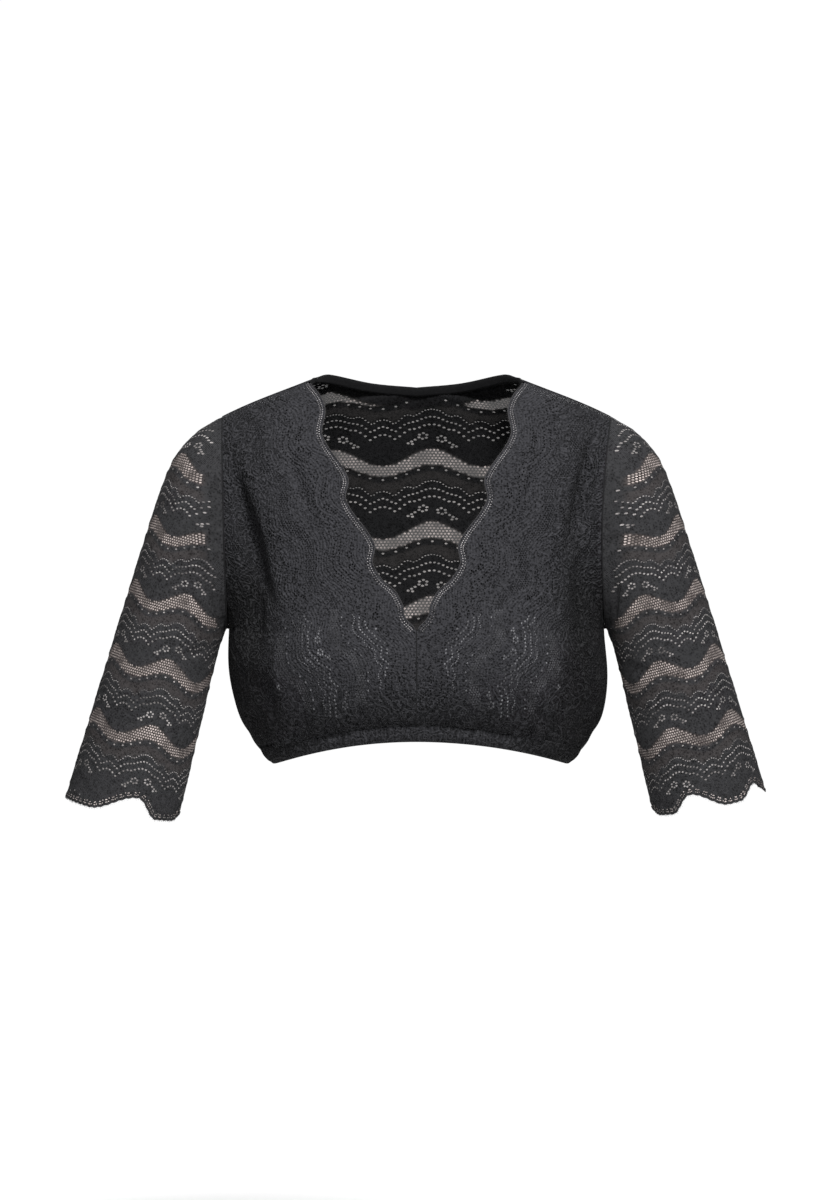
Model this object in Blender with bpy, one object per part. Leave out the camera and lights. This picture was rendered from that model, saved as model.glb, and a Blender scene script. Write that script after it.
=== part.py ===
"""Dirndl blouse of scalloped lace, worn form with no wearer: V front with a lining, sheer back and half sleeves,
and a gathered elastic casing at the hem.

Metres, +Z up, the front faces -Y, the wearer's left is +X. The origin lies between the shoulders, where the blouse
is carried. Every panel is a grid of points on a curved surface that Solidify turns into a wall of cloth.
"""

import math
from collections import namedtuple

import bpy
from mathutils import Vector

# Driving sizes of the cloth
LACE_WALL = 0.0012
LINING_WALL = 0.0010
CASING_WALL = 0.0024
BINDING_WALL = 0.0020
SEAM_GAP = 0.0003
LINING_GAP = 0.0006

# Shares of the way up a panel, from the hem seam at 0 to the shoulder seam at 1. The panels stop just short of both
# seams, and the lining a little more.
ARMPIT_SHARE = 0.32
BACK_NECK_SHARE = 0.88
HEM_END, SHOULDER_END = 0.0008, 0.9985
LINING_END = 0.0050

# Armhole: an upright oval between the armpit and the shoulder tip
TIP_X, TIP_Z = 0.1890, -0.0190
ARMPIT_X, ARMPIT_Z = 0.1825, -0.2255
ARMHOLE_Y = 0.004
ARMHOLE_FRONT = 0.052
ARMHOLE_BACK = 0.060
ARMHOLE_DIP_LEFT, ARMHOLE_DIP_RIGHT = 0.008, 0.001
ARMHOLE_DIP_BACK = 0.004

# The lower bodice hangs a little towards the wearer's left
LEAN = 0.0042
LEAN_TOP_Z, LEAN_FULL_Z, LEAN_FULL_X = -0.228, -0.320, 0.150

# Scalloped V edge: how deep a notch goes, a scallop's share of the edge, where the first point is from the shoulder,
# and where in a scallop its notch is deepest
NECK_SCALLOP_DEPTH = 0.0098
NECK_SCALLOP_SHARE = 0.247
NECK_FIRST_POINT_SHARE = 0.110
NECK_NOTCH_AT = 0.39

# Scalloped cuffs, as arched notches between broad flat scallops: the angle round the arm (0 the front, 90 the
# outside), the depth, and how many degrees a notch spreads towards the inside and the outside of the arm
Notch = namedtuple("Notch", "angle depth inward outward")
LEFT_CUFF = [
    Notch(-22.0, 0.0180, 24.0, 36.0),
    Notch(50.0, 0.0130, 24.0, 26.0),
    Notch(130.0, 0.0150, 24.0, 26.0),
    Notch(202.0, 0.0180, 30.0, 24.0),
    Notch(270.0, 0.0080, 24.0, 24.0),
]
RIGHT_CUFF = [
    Notch(-18.0, 0.0200, 24.0, 46.0),
    Notch(112.0, 0.0150, 24.0, 26.0),
    Notch(198.0, 0.0190, 40.0, 24.0),
    Notch(270.0, 0.0080, 24.0, 24.0),
]
LEFT_CUFF_SHORTER = 0.0065
CUFF_BACK_SHORTER = 0.0120

# Bust cups, laid over the plain front as two smooth swellings
CUP_X, CUP_Z = 0.086, -0.243
CUP_WIDE, CUP_HIGH = 0.050, 0.052
CUP_DEPTH = 0.013

# Hem casing
CASING_HEIGHT = 0.0145
CASING_TUCK = 0.0030
GATHERS = 96
POINTS_A_GATHER = 2
GATHER_DEPTH = 0.0011

# Back neck binding, lower where it runs into the shoulder seams, and the inset of the front lining
BINDING_HEIGHT = 0.0048
BINDING_END_HEIGHT = 0.0026
LINING_NECK_INSET = 0.0075
LINING_SEAM_INSET = 0.0016

# Grid sizes. A stop is a share of the way up and the number of rows from there to the next stop.
FRONT_STOPS = ((LINING_END, 10), (ARMPIT_SHARE, 26), (1.0 - LINING_END, 0))
BACK_STOPS = ((LINING_END, 7), (ARMPIT_SHARE, 10), (BACK_NECK_SHARE, 6), (1.0 - LINING_END, 0))
FRONT_COLUMNS, BACK_COLUMNS = 10, 9
SLEEVE_RINGS, SLEEVE_COLUMNS = 12, 52
BINDING_POINTS = 25

Rail = namedtuple("Rail", "share x y z")
SIDE_SEAM = [
    Rail(0.00, 0.1470, 0.002, -0.3430),
    Rail(0.05, 0.1630, 0.002, -0.3310),
    Rail(0.12, 0.1765, 0.002, -0.3100),
    Rail(0.20, 0.1838, 0.002, -0.2720),
    Rail(0.32, ARMPIT_X, ARMHOLE_Y, ARMPIT_Z),
]
CENTRE_FRONT = [
    Rail(0.00, 0.0, -0.0940, -0.3180),
    Rail(0.05, 0.0, -0.1030, -0.3085),
    Rail(0.12, 0.0, -0.1100, -0.2900),
    Rail(0.20, 0.0, -0.1145, -0.2630),
    Rail(0.32, 0.0, -0.1120, -0.2280),
]
NECKLINE = [
    Rail(0.32, 0.0000, -0.1120, -0.2280),
    Rail(0.49, 0.0305, -0.1010, -0.1660),
    Rail(0.66, 0.0565, -0.0850, -0.1040),
    Rail(0.83, 0.0800, -0.0560, -0.0400),
    Rail(0.93, 0.0930, -0.0250, 0.0035),
    Rail(1.00, 0.1010, 0.0040, 0.0175),
]
CENTRE_BACK = [
    Rail(0.00, 0.0, 0.0880, -0.3240),
    Rail(0.05, 0.0, 0.0960, -0.3140),
    Rail(0.12, 0.0, 0.1010, -0.2940),
    Rail(0.20, 0.0, 0.1050, -0.2650),
    Rail(0.32, 0.0, 0.1090, -0.2220),
    Rail(0.50, 0.0, 0.1120, -0.1540),
    Rail(0.66, 0.0, 0.1090, -0.0920),
    Rail(0.78, 0.0, 0.0975, -0.0390),
    Rail(0.88, 0.0, 0.0790, 0.0090),
]
BACK_NECKLINE = [
    Rail(0.88, 0.0000, 0.0790, 0.0090),
    Rail(0.92, 0.0450, 0.0700, 0.0125),
    Rail(0.96, 0.0830, 0.0400, 0.0185),
    Rail(1.00, 0.1010, 0.0040, 0.0175),
]

# How a row leaves the inner rail and meets the outer one. reach is a share of the row's chord, turn is in degrees from
# across (0) to front-to-back (90), and drop is how steeply it falls.
Bend = namedtuple("Bend", "share in_reach in_turn in_drop out_reach out_turn out_drop")
FRONT_BENDS = [
    Bend(0.00, 0.48, 0, 0.00, 0.34, 90, 0.00),
    Bend(0.20, 0.50, 0, 0.00, 0.36, 90, 0.00),
    Bend(0.32, 0.48, 0, 0.00, 0.34, 88, 0.00),
    Bend(0.49, 0.38, 4, 0.00, 0.34, 55, 0.05),
    Bend(0.66, 0.34, 8, 0.06, 0.34, 38, 0.12),
    Bend(0.83, 0.34, 8, 0.20, 0.34, 24, 0.30),
    Bend(1.00, 0.33, 0, 0.40, 0.33, 0, 0.52),
]
BACK_BENDS = [
    Bend(0.00, 0.48, 0, 0.00, 0.34, 90, 0.00),
    Bend(0.20, 0.50, 0, 0.00, 0.36, 90, 0.00),
    Bend(0.32, 0.48, 0, 0.00, 0.34, 88, 0.00),
    Bend(0.50, 0.42, 0, 0.00, 0.34, 52, 0.05),
    Bend(0.66, 0.40, 2, 0.00, 0.34, 36, 0.12),
    Bend(0.83, 0.38, 8, 0.10, 0.34, 24, 0.30),
    Bend(1.00, 0.33, 0, 0.40, 0.33, 0, 0.52),
]

# Sleeve rings: the top line (outside of the arm), the under line (inside of the arm), the depth before and behind
# the arm's middle, the middle's own place, the share of the armhole's dip, and how far the front is lifted
Ring = namedtuple("Ring", "share top_x top_z under_x under_z front back y dip lift")
SLEEVE = [
    Ring(0.00, TIP_X, TIP_Z, ARMPIT_X, ARMPIT_Z, ARMHOLE_FRONT, ARMHOLE_BACK, ARMHOLE_Y, 1.0, 0.000),
    Ring(0.07, 0.2125, -0.0330, 0.1852, -0.2262, 0.0535, 0.0610, 0.003, 0.7, 0.000),
    Ring(0.14, 0.2360, -0.0590, 0.1862, -0.2280, 0.0545, 0.0610, 0.002, 0.4, 0.000),
    Ring(0.24, 0.2535, -0.1030, 0.1875, -0.2315, 0.0550, 0.0600, 0.000, 0.1, 0.001),
    Ring(0.37, 0.2710, -0.1590, 0.1895, -0.2370, 0.0550, 0.0580, -0.003, 0.0, 0.002),
    Ring(0.49, 0.2860, -0.2080, 0.1930, -0.2480, 0.0545, 0.0560, -0.006, 0.0, 0.003),
    Ring(1.00, 0.3412, -0.3925, 0.2320, -0.4155, 0.0540, 0.0550, -0.018, 0.0, 0.003),
]
SLEEVE_SEAM_TOP = 0.0004
SLEEVE_SEAM_ARMPIT = 0.0019
SLEEVE_LENGTH = 0.395

# Soft troughs pressed into the fronts, each from the armhole towards the bust: start and end across and up, depth,
# half width. The wearer's right side is listed as it shows, and the left one a little shorter.
Fold = namedtuple("Fold", "side x0 z0 x1 z1 depth width")
FOLDS = [
    Fold(-1, 0.180, -0.060, 0.137, -0.210, 0.0060, 0.0100),
    Fold(-1, 0.124, -0.040, 0.096, -0.130, 0.0022, 0.0090),
    Fold(1, 0.176, -0.020, 0.143, -0.150, 0.0055, 0.0100),
    Fold(1, 0.120, -0.020, 0.106, -0.110, 0.0018, 0.0085),
]

BLACK_LACE = (0.040, 0.040, 0.044, 1.0)
BLACK_LINING = (0.016, 0.016, 0.018, 1.0)
BLACK_CASING = (0.030, 0.030, 0.033, 1.0)


def smooth(low, high, value):
    """0 below low, 1 above high, and an even ease between."""
    share = min(1.0, max(0.0, (value - low) / (high - low)))
    return share * share * (3.0 - 2.0 * share)


def read(table, share):
    """A table's row at this share, every column on a smooth curve through the rows."""
    last = len(table) - 1
    i = max(0, min(last - 1, sum(row.share <= share for row in table) - 1))
    a, b = table[i], table[i + 1]
    before, after = table[max(i - 1, 0)], table[min(i + 2, last)]
    width = b.share - a.share
    f = (share - a.share) / width
    values = [share]
    for column in range(1, len(a)):
        slope_a = (b[column] - before[column]) / (b.share - before.share) * width
        slope_b = (after[column] - a[column]) / (after.share - a.share) * width
        values.append(
            (2 * f**3 - 3 * f**2 + 1) * a[column]
            + (f**3 - 2 * f**2 + f) * slope_a
            + (3 * f**2 - 2 * f**3) * b[column]
            + (f**3 - f**2) * slope_b
        )
    return type(a)(*values)


def point(row):
    return Vector((row.x, row.y, row.z))


def oval(ring, angle, side):
    """A point of a sleeve ring. Angle 0 is the front, 90 degrees the top and 180 the back."""
    up, forward = math.sin(angle), math.cos(angle)
    half = (up + 1.0) / 2.0
    depth, dip = ring.back, ARMHOLE_DIP_BACK
    if forward > 0:
        depth, dip = ring.front, ARMHOLE_DIP_LEFT if side > 0 else ARMHOLE_DIP_RIGHT
    return Vector(
        (
            ring.under_x + (ring.top_x - ring.under_x) * half - ring.dip * dip * forward**2,
            ring.y - depth * forward,
            ring.under_z + (ring.top_z - ring.under_z) * half + ring.lift * forward,
        )
    )


def outer_rail(share, back, side):
    """The side seam up to the armpit, then the armhole's front or back half up to the shoulder tip."""
    if share <= ARMPIT_SHARE:
        return point(read(SIDE_SEAM, share))
    climbed = (share - ARMPIT_SHARE) / (1.0 - ARMPIT_SHARE)
    angle = math.radians(-90.0 + 180.0 * climbed)
    return oval(SLEEVE[0], math.pi - angle if back else angle, side)


def inner_rail(share, back):
    """The centre seam or fold, then the neckline up to the shoulder seam."""
    if back:
        return point(read(CENTRE_BACK if share <= BACK_NECK_SHARE else BACK_NECKLINE, share))
    return point(read(CENTRE_FRONT if share <= ARMPIT_SHARE else NECKLINE, share))


def row_curve(share, back, side):
    """The four control points of the row at this share, from the inner rail to the outer one, before mirroring."""
    start, end = inner_rail(share, back), outer_rail(share, back, side)
    bend = read(BACK_BENDS if back else FRONT_BENDS, share)
    chord = (end - start).length
    facing = -1.0 if back else 1.0

    def heading(turn, drop):
        return Vector(
            (math.cos(math.radians(turn)), facing * math.sin(math.radians(turn)), -drop)
        ).normalized()

    return (
        start,
        start + heading(bend.in_turn, bend.in_drop) * chord * bend.in_reach,
        end - heading(bend.out_turn, bend.out_drop) * chord * bend.out_reach,
        end,
    )


def on_curve(controls, s):
    a, b, c, d = controls
    r = 1.0 - s
    return a * r**3 + b * (3 * s * r**2) + c * (3 * s**2 * r) + d * s**3


def neck_cut(share):
    """How far the V edge is cut back from its scallops' points, from the share of the way up."""
    from_top = (1.0 - share) / (1.0 - ARMPIT_SHARE)
    f = (from_top - NECK_FIRST_POINT_SHARE) / NECK_SCALLOP_SHARE % 1.0
    if f < NECK_NOTCH_AT:
        ease = 0.5 - 0.5 * math.cos(math.pi * f / NECK_NOTCH_AT)
    else:
        ease = 0.5 + 0.5 * math.cos(math.pi * (f - NECK_NOTCH_AT) / (1.0 - NECK_NOTCH_AT))
    return NECK_SCALLOP_DEPTH * ease * smooth(ARMPIT_SHARE, ARMPIT_SHARE + 0.03, share)


def cuff_cut(angle, side):
    """How far the cuff is cut back at this angle round the arm."""
    deepest = 0.0
    for middle, depth, inward, outward in LEFT_CUFF if side > 0 else RIGHT_CUFF:
        away = (math.degrees(angle) - middle + 180.0) % 360.0 - 180.0
        share = away / outward if away > 0 else -away / inward
        deepest = max(deepest, depth * (0.5 + 0.5 * math.cos(math.pi * min(1.0, share))))
    shorter = LEFT_CUFF_SHORTER if side > 0 else 0.0
    return deepest + shorter + CUFF_BACK_SHORTER * (0.5 - 0.5 * math.cos(angle))


def fold_depth(x, z, side):
    """How far the front's folds press the cloth in at this place."""
    total = 0.0
    for fold in FOLDS:
        if fold.side != side:
            continue
        run = Vector((fold.x1 - fold.x0, fold.z1 - fold.z0))
        to = Vector((x - fold.x0, z - fold.z0))
        along = to.dot(run) / run.length_squared
        across = (to.x * run.y - to.y * run.x) / run.length
        fade = smooth(-0.15, 0.30, along) * (1.0 - smooth(0.55, 1.15, along))
        total += fold.depth * fade * math.exp(-((across / fold.width) ** 2))
    return total


def cup(x, z):
    return CUP_DEPTH * math.exp(-(((x - CUP_X) / CUP_WIDE) ** 2) - ((z - CUP_Z) / CUP_HIGH) ** 2)


def lean(p):
    """The point moved with the lower bodice's sideways hang."""
    low = 1.0 - smooth(LEAN_FULL_Z, LEAN_TOP_Z, p.z)
    return Vector((p.x + LEAN * low * smooth(0.0, LEAN_FULL_X, abs(p.x)), p.y, p.z))


def panel_point(share, across, back, side):
    """A point of the bodice on this side, across from 0 at the inner rail to 1 at the outer one."""
    p = on_curve(row_curve(share, back, side), across)
    if not back:
        inside = (1.0 - smooth(0.86, 1.0, across)) * (1.0 - smooth(0.93, 1.0, share))
        p.y -= cup(p.x, p.z) - fold_depth(p.x, p.z, side) * inside
    return lean(Vector((side * p.x, p.y, p.z)))


def stations(count, near, far, total):
    """Distances along a line of this total length: near and far ones as given, and count even steps between."""
    step = (total - near[-1] - far[-1]) / count
    return near[:-1] + [near[-1] + step * k for k in range(count + 1)] + [total - d for d in far[-2::-1]]


def panel_grid(shares, columns, back, side, edges):
    """Rows of points of one half panel. edges(share) gives distances in from the inner and from the outer rail."""
    grid = []
    for share in shares:
        controls = row_curve(share, back, side)
        line = [on_curve(controls, k / 60.0) for k in range(61)]
        run = [0.0]
        for a, b in zip(line, line[1:]):
            run.append(run[-1] + (b - a).length)
        inner, outer = edges(share)
        row = []
        for distance in stations(columns, inner, outer, run[-1]):
            k = max(0, min(59, sum(r <= distance for r in run) - 1))
            across = (k + (distance - run[k]) / (run[k + 1] - run[k])) / 60.0
            row.append(panel_point(share, across, back, side))
        grid.append(row)
    return grid


def row_shares(stops):
    """Shares of a panel's rows: the hem end, even rows between the stops, then the shoulder end."""
    shares = [HEM_END]
    for (low, rows), (high, _) in zip(stops, stops[1:]):
        shares += [low + (high - low) * k / rows for k in range(rows)]
    return shares + [stops[-1][0], SHOULDER_END]


def mesh_of(name, points, faces, merge=0.0):
    mesh = bpy.data.meshes.new(name)
    mesh.from_pydata([tuple(p) for p in points], [], faces)
    body = bpy.data.objects.new(name, mesh)
    bpy.context.scene.collection.objects.link(body)
    if merge:
        weld = body.modifiers.new("weld", "WELD")
        weld.merge_threshold = merge
    return body


def grid_faces(rows, columns, start=0, closed=False):
    """Quads of a grid of rows and columns of points; closed joins the last column to the first."""
    faces = []
    for j in range(rows - 1):
        for i in range(columns if closed else columns - 1):
            a = start + j * columns + i
            b = start + j * columns + (i + 1) % columns
            faces.append((a, b, b + columns, a + columns))
    return faces


def make_wall(body, thickness):
    """Turns a sheet of quads into cloth of this thickness, half on each side of the sheet."""
    wall = body.modifiers.new("wall", "SOLIDIFY")
    wall.thickness = thickness
    wall.offset = 0.0


def paint(body, name, colour, roughness):
    material = bpy.data.materials.get(name) or bpy.data.materials.new(name)
    material.use_nodes = True
    shader = material.node_tree.nodes["Principled BSDF"]
    shader.inputs["Base Color"].default_value = colour
    shader.inputs["Roughness"].default_value = roughness
    body.data.materials.append(material)
    body.data.shade_smooth()


def facing_out(faces, flip):
    return [tuple(reversed(face)) for face in faces] if flip else faces


def front_grid(side):
    """The points of a front. Its second and last but one rows and columns are the outline of the lining."""

    def edges(share):
        lined = LINING_SEAM_INSET + LINING_NECK_INSET * smooth(ARMPIT_SHARE, ARMPIT_SHARE + 0.06, share)
        return [SEAM_GAP / 2 + neck_cut(share), SEAM_GAP / 2 + lined], [SEAM_GAP / 2, LINING_SEAM_INSET]

    return panel_grid(row_shares(FRONT_STOPS), FRONT_COLUMNS, False, side, edges)


def make_front(name, side):
    """A front of lace: V edge, centre seam, hem, side seam, armhole and shoulder seam are its outline."""
    grid = front_grid(side)
    faces = grid_faces(len(grid), len(grid[0]))
    body = mesh_of(name, [p for line in grid for p in line], facing_out(faces, side < 0))
    make_wall(body, LACE_WALL)
    paint(body, "black lace", BLACK_LACE, 0.85)


def make_lining(name, side):
    """The lining behind a front, made from the front's own points moved in."""
    grid = front_grid(side)
    rows, columns = len(grid), len(grid[0])
    depth = LACE_WALL / 2 + LINING_GAP + LINING_WALL / 2
    moved = []
    for j in range(1, rows - 1):
        for i in range(1, columns - 1):
            along = grid[j][i + 1] - grid[j][i - 1]
            up = grid[j + 1][i] - grid[j - 1][i]
            outward = along.cross(up).normalized() * side
            moved.append(grid[j][i] - outward * depth)
    faces = grid_faces(rows - 2, columns - 2)
    body = mesh_of(name, moved, facing_out(faces, side < 0))
    make_wall(body, LINING_WALL)
    paint(body, "black lining", BLACK_LINING, 0.9)


def make_back(name):
    """The back, one piece of lace from side seam to side seam, its halves welded along the centre line."""

    def edges(share):
        above = smooth(BACK_NECK_SHARE, BACK_NECK_SHARE + 0.01, share)
        return [SEAM_GAP / 2 * above], [SEAM_GAP / 2]

    points, faces = [], []
    for side in (-1, 1):
        grid = panel_grid(row_shares(BACK_STOPS), BACK_COLUMNS, True, side, edges)
        half = grid_faces(len(grid), len(grid[0]), len(points))
        faces += facing_out(half, side > 0)
        points += [p for line in grid for p in line]
    body = mesh_of(name, points, faces, merge=0.00005)
    make_wall(body, LACE_WALL)
    paint(body, "black lace", BLACK_LACE, 0.85)


def sleeve_point(share, angle, side):
    """A point of a sleeve, share from 0 at the armhole to 1 at the cuff's scallop points."""
    p = oval(read(SLEEVE, share), angle, side)
    if share < SLEEVE[1].share:
        low = (1.0 - math.sin(angle)) / 2.0
        seam = SLEEVE_SEAM_TOP + (SLEEVE_SEAM_ARMPIT - SLEEVE_SEAM_TOP) * low
        p.x += seam * (1.0 - share / SLEEVE[1].share)
    return Vector((side * p.x, p.y, p.z))


def make_sleeve(name, side):
    """A sleeve of lace, sewn to a tube, cut square at the armhole and scalloped round the cuff."""
    points = []
    for j in range(SLEEVE_RINGS + 1):
        share = j / SLEEVE_RINGS
        for i in range(SLEEVE_COLUMNS):
            angle = math.tau * i / SLEEVE_COLUMNS
            cut = cuff_cut(angle, side) / SLEEVE_LENGTH * smooth(0.80, 1.0, share)
            points.append(sleeve_point(share - cut, angle, side))
    faces = grid_faces(SLEEVE_RINGS + 1, SLEEVE_COLUMNS, closed=True)
    body = mesh_of(name, points, facing_out(faces, side > 0))
    make_wall(body, LACE_WALL)
    paint(body, "black lace", BLACK_LACE, 0.85)


def hem_quarter(back, count):
    """Points evenly spaced along the hem seam from the centre line to the side seam, on the +X side."""
    fine = [on_curve(row_curve(0.0, back, 1), k / 200.0) for k in range(201)]
    run = [0.0]
    for a, b in zip(fine, fine[1:]):
        run.append(run[-1] + (b - a).length)
    points, k = [], 0
    for i in range(count):
        wanted = run[-1] * i / count
        while run[k + 1] < wanted:
            k += 1
        f = (wanted - run[k]) / (run[k + 1] - run[k])
        points.append(fine[k].lerp(fine[k + 1], f))
    return points


def hem_loop(count):
    """The whole hem seam as a closed loop of points, seen from above against the clock, from the centre front."""
    quarter = count // 4
    side = point(read(SIDE_SEAM, 0.0))
    front, back = hem_quarter(False, quarter), hem_quarter(True, quarter)
    right_half = front + [side] + back[:0:-1] + [back[0]]
    left_half = [Vector((-p.x, p.y, p.z)) for p in right_half[-2:0:-1]]
    return [lean(p) for p in right_half + left_half]


def make_casing(name):
    """The elastic casing: a gathered ring below the hem seam, its outer face raised at each gather."""
    count = GATHERS * POINTS_A_GATHER
    loop = hem_loop(count)
    # How far down, how far in from the seam's line, and whether the gathers raise it
    profile = (
        (SEAM_GAP + LACE_WALL / 2, -CASING_WALL / 2, 0.6),
        (CASING_HEIGHT / 2, -CASING_WALL / 2, 1.0),
        (CASING_HEIGHT, -CASING_WALL / 2 + CASING_TUCK, 0.5),
        (CASING_HEIGHT, CASING_WALL / 2 + CASING_TUCK, 0.0),
        (SEAM_GAP + LACE_WALL / 2, CASING_WALL / 2, 0.0),
    )
    points = []
    for down, inward, raised in profile:
        for i, p in enumerate(loop):
            along = loop[(i + 1) % count] - loop[i - 1]
            out = Vector((along.y, -along.x, 0.0)).normalized()
            peak = 1.0 if i % POINTS_A_GATHER == 0 else 0.0
            points.append(p - out * (inward - raised * GATHER_DEPTH * peak) - Vector((0, 0, down)))
    rows = len(profile)
    faces = []
    for j in range(rows):
        for i in range(count):
            a, b = j * count + i, j * count + (i + 1) % count
            c, d = ((j + 1) % rows) * count + (i + 1) % count, ((j + 1) % rows) * count + i
            faces.append((d, c, b, a))
    body = mesh_of(name, points, faces)
    paint(body, "black casing", BLACK_CASING, 0.85)


def make_binding(name):
    """A narrow bias strip that stands on the back neckline from one shoulder seam to the other."""
    low, high = BACK_NECK_SHARE, SHOULDER_END
    half = [inner_rail(low + (high - low) * i / (BINDING_POINTS // 2), True) for i in range(BINDING_POINTS // 2 + 1)]
    line = [Vector((-p.x, p.y, p.z)) for p in half[:0:-1]] + half
    corners = []
    for i, p in enumerate(line):
        along = (line[min(i + 1, len(line) - 1)] - line[max(i - 1, 0)]).normalized()
        up = Vector((0.0, -0.30, 1.0))
        up = (up - along * up.dot(along)).normalized()
        out = up.cross(along).normalized()
        foot = p + up * (LACE_WALL / 2 + 2.5 * SEAM_GAP)
        from_end = min(i, len(line) - 1 - i) / (len(line) // 2)
        height = BINDING_END_HEIGHT + (BINDING_HEIGHT - BINDING_END_HEIGHT) * smooth(0.0, 0.3, from_end)
        for rise, shift in ((0.0, 1.0), (height, 1.0), (height, -1.0), (0.0, -1.0)):
            corners.append(foot + up * rise + out * (shift * BINDING_WALL / 2))
    faces = []
    for i in range(len(line) - 1):
        for k in range(4):
            a, b = i * 4 + k, i * 4 + (k + 1) % 4
            faces.append((a, b, b + 4, a + 4))
    faces.append((3, 2, 1, 0))
    end = (len(line) - 1) * 4
    faces.append((end, end + 1, end + 2, end + 3))
    body = mesh_of(name, corners, faces)
    paint(body, "black casing", BLACK_CASING, 0.85)


def build():
    for old in list(bpy.data.objects):
        bpy.data.objects.remove(old)
    for name, side in (("left", 1), ("right", -1)):
        make_front(f"front_{name}", side)
        make_lining(f"front_lining_{name}", side)
        make_sleeve(f"sleeve_{name}", side)
    make_back("back")
    make_casing("hem_casing")
    make_binding("back_neck_binding")


build()
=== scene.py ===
"""Dressed model of the lace dirndl blouse: fine lace, lining, gathered casing and edges over the frame.

Metres, in the row frame. Every sheet of lace is laid out flat first: its outline, its eyelets and net holes
and the points of its relief are drawn on the flat cloth, triangulated there, and carried onto the curved
panel.
"""

import math

import bmesh
import bpy
import numpy as np
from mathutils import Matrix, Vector, kdtree
from mathutils.bvhtree import BVHTree
from mathutils.geometry import delaunay_2d_cdt


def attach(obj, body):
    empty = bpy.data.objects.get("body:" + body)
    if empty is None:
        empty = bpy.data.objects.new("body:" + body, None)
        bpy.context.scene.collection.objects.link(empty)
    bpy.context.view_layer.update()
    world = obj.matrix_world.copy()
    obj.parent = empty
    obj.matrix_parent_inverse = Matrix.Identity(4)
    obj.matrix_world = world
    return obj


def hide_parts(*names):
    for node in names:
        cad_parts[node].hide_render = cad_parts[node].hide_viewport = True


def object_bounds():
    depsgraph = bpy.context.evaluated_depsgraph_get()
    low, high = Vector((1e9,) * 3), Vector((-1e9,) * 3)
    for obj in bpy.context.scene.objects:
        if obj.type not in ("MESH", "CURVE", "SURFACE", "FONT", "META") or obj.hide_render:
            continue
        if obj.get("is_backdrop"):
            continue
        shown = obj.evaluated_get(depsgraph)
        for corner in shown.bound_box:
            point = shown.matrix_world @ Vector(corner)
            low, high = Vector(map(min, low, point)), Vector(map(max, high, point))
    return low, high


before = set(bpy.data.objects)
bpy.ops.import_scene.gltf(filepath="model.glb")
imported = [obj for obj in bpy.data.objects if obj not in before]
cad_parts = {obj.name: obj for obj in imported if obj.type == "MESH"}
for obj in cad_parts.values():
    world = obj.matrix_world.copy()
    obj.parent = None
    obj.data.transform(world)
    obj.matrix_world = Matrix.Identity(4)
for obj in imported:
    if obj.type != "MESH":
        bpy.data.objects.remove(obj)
plain_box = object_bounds()

# Cloth and seams
LACE_WALL = 0.0012
LINING_WALL = 0.0010
SEAM_GAP = 0.0003
LINING_GAP = 0.0006
# How far the lining stops short of the V edge
LINING_SHORTER = 0.0068

# Shares of the way up a panel, from the hem seam at 0 to the shoulder seam at 1
ARMPIT_SHARE = 0.32
BACK_NECK_SHARE = 0.88
HEM_END, SHOULDER_END = 0.0008, 0.9985

# Armhole
TIP_X, TIP_Z = 0.1890, -0.0190
ARMPIT_X, ARMPIT_Z = 0.1825, -0.2255
ARMHOLE_Y = 0.004
ARMHOLE_FRONT = 0.052
ARMHOLE_BACK = 0.060
ARMHOLE_DIP_LEFT, ARMHOLE_DIP_RIGHT = 0.008, 0.001
ARMHOLE_DIP_BACK = 0.004

# Sideways hang of the lower bodice
LEAN = 0.0042
LEAN_TOP_Z, LEAN_FULL_Z, LEAN_FULL_X = -0.228, -0.320, 0.150

# Scalloped edges
NECK_SCALLOP_DEPTH = 0.0098
NECK_SCALLOP_SHARE = 0.2525
NECK_FIRST_POINT_SHARE = 0.157
NECK_NOTCH_AT = 0.35
NECK_LAST_POINT_SHARE = 0.800
NECK_TIP_DEPTH = 0.0035
LEFT_CUFF = ((-22.0, 0.0180, 24.0, 36.0), (50.0, 0.0130, 24.0, 26.0), (130.0, 0.0150, 24.0, 26.0),
             (202.0, 0.0180, 30.0, 24.0), (270.0, 0.0080, 24.0, 24.0))
RIGHT_CUFF = ((-18.0, 0.0200, 24.0, 46.0), (112.0, 0.0150, 24.0, 26.0), (198.0, 0.0190, 40.0, 24.0),
              (270.0, 0.0080, 24.0, 24.0))
LEFT_CUFF_SHORTER = 0.0065
CUFF_BACK_SHORTER = 0.0120

CUP_X, CUP_Z = 0.086, -0.243
CUP_WIDE, CUP_HIGH = 0.050, 0.052
CUP_DEPTH = 0.013

CASING_HEIGHT = 0.0145
GATHER_PITCH, GATHER_HEIGHT = 0.0062, 0.0015

# Rails of the bodice: share of the way up, x, y, z
SIDE_SEAM = np.array([
    (0.00, 0.1470, 0.002, -0.3430),
    (0.05, 0.1630, 0.002, -0.3310),
    (0.12, 0.1765, 0.002, -0.3100),
    (0.20, 0.1838, 0.002, -0.2720),
    (0.32, ARMPIT_X, ARMHOLE_Y, ARMPIT_Z),
])
CENTRE_FRONT = np.array([
    (0.00, 0.0, -0.0940, -0.3180),
    (0.05, 0.0, -0.1030, -0.3085),
    (0.12, 0.0, -0.1100, -0.2900),
    (0.20, 0.0, -0.1145, -0.2630),
    (0.32, 0.0, -0.1120, -0.2280),
])
NECKLINE = np.array([
    (0.32, 0.0000, -0.1120, -0.2280),
    (0.49, 0.0305, -0.1010, -0.1660),
    (0.66, 0.0565, -0.0850, -0.1040),
    (0.83, 0.0800, -0.0560, -0.0400),
    (0.93, 0.0930, -0.0250, 0.0035),
    (1.00, 0.1010, 0.0040, 0.0175),
])
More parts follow.
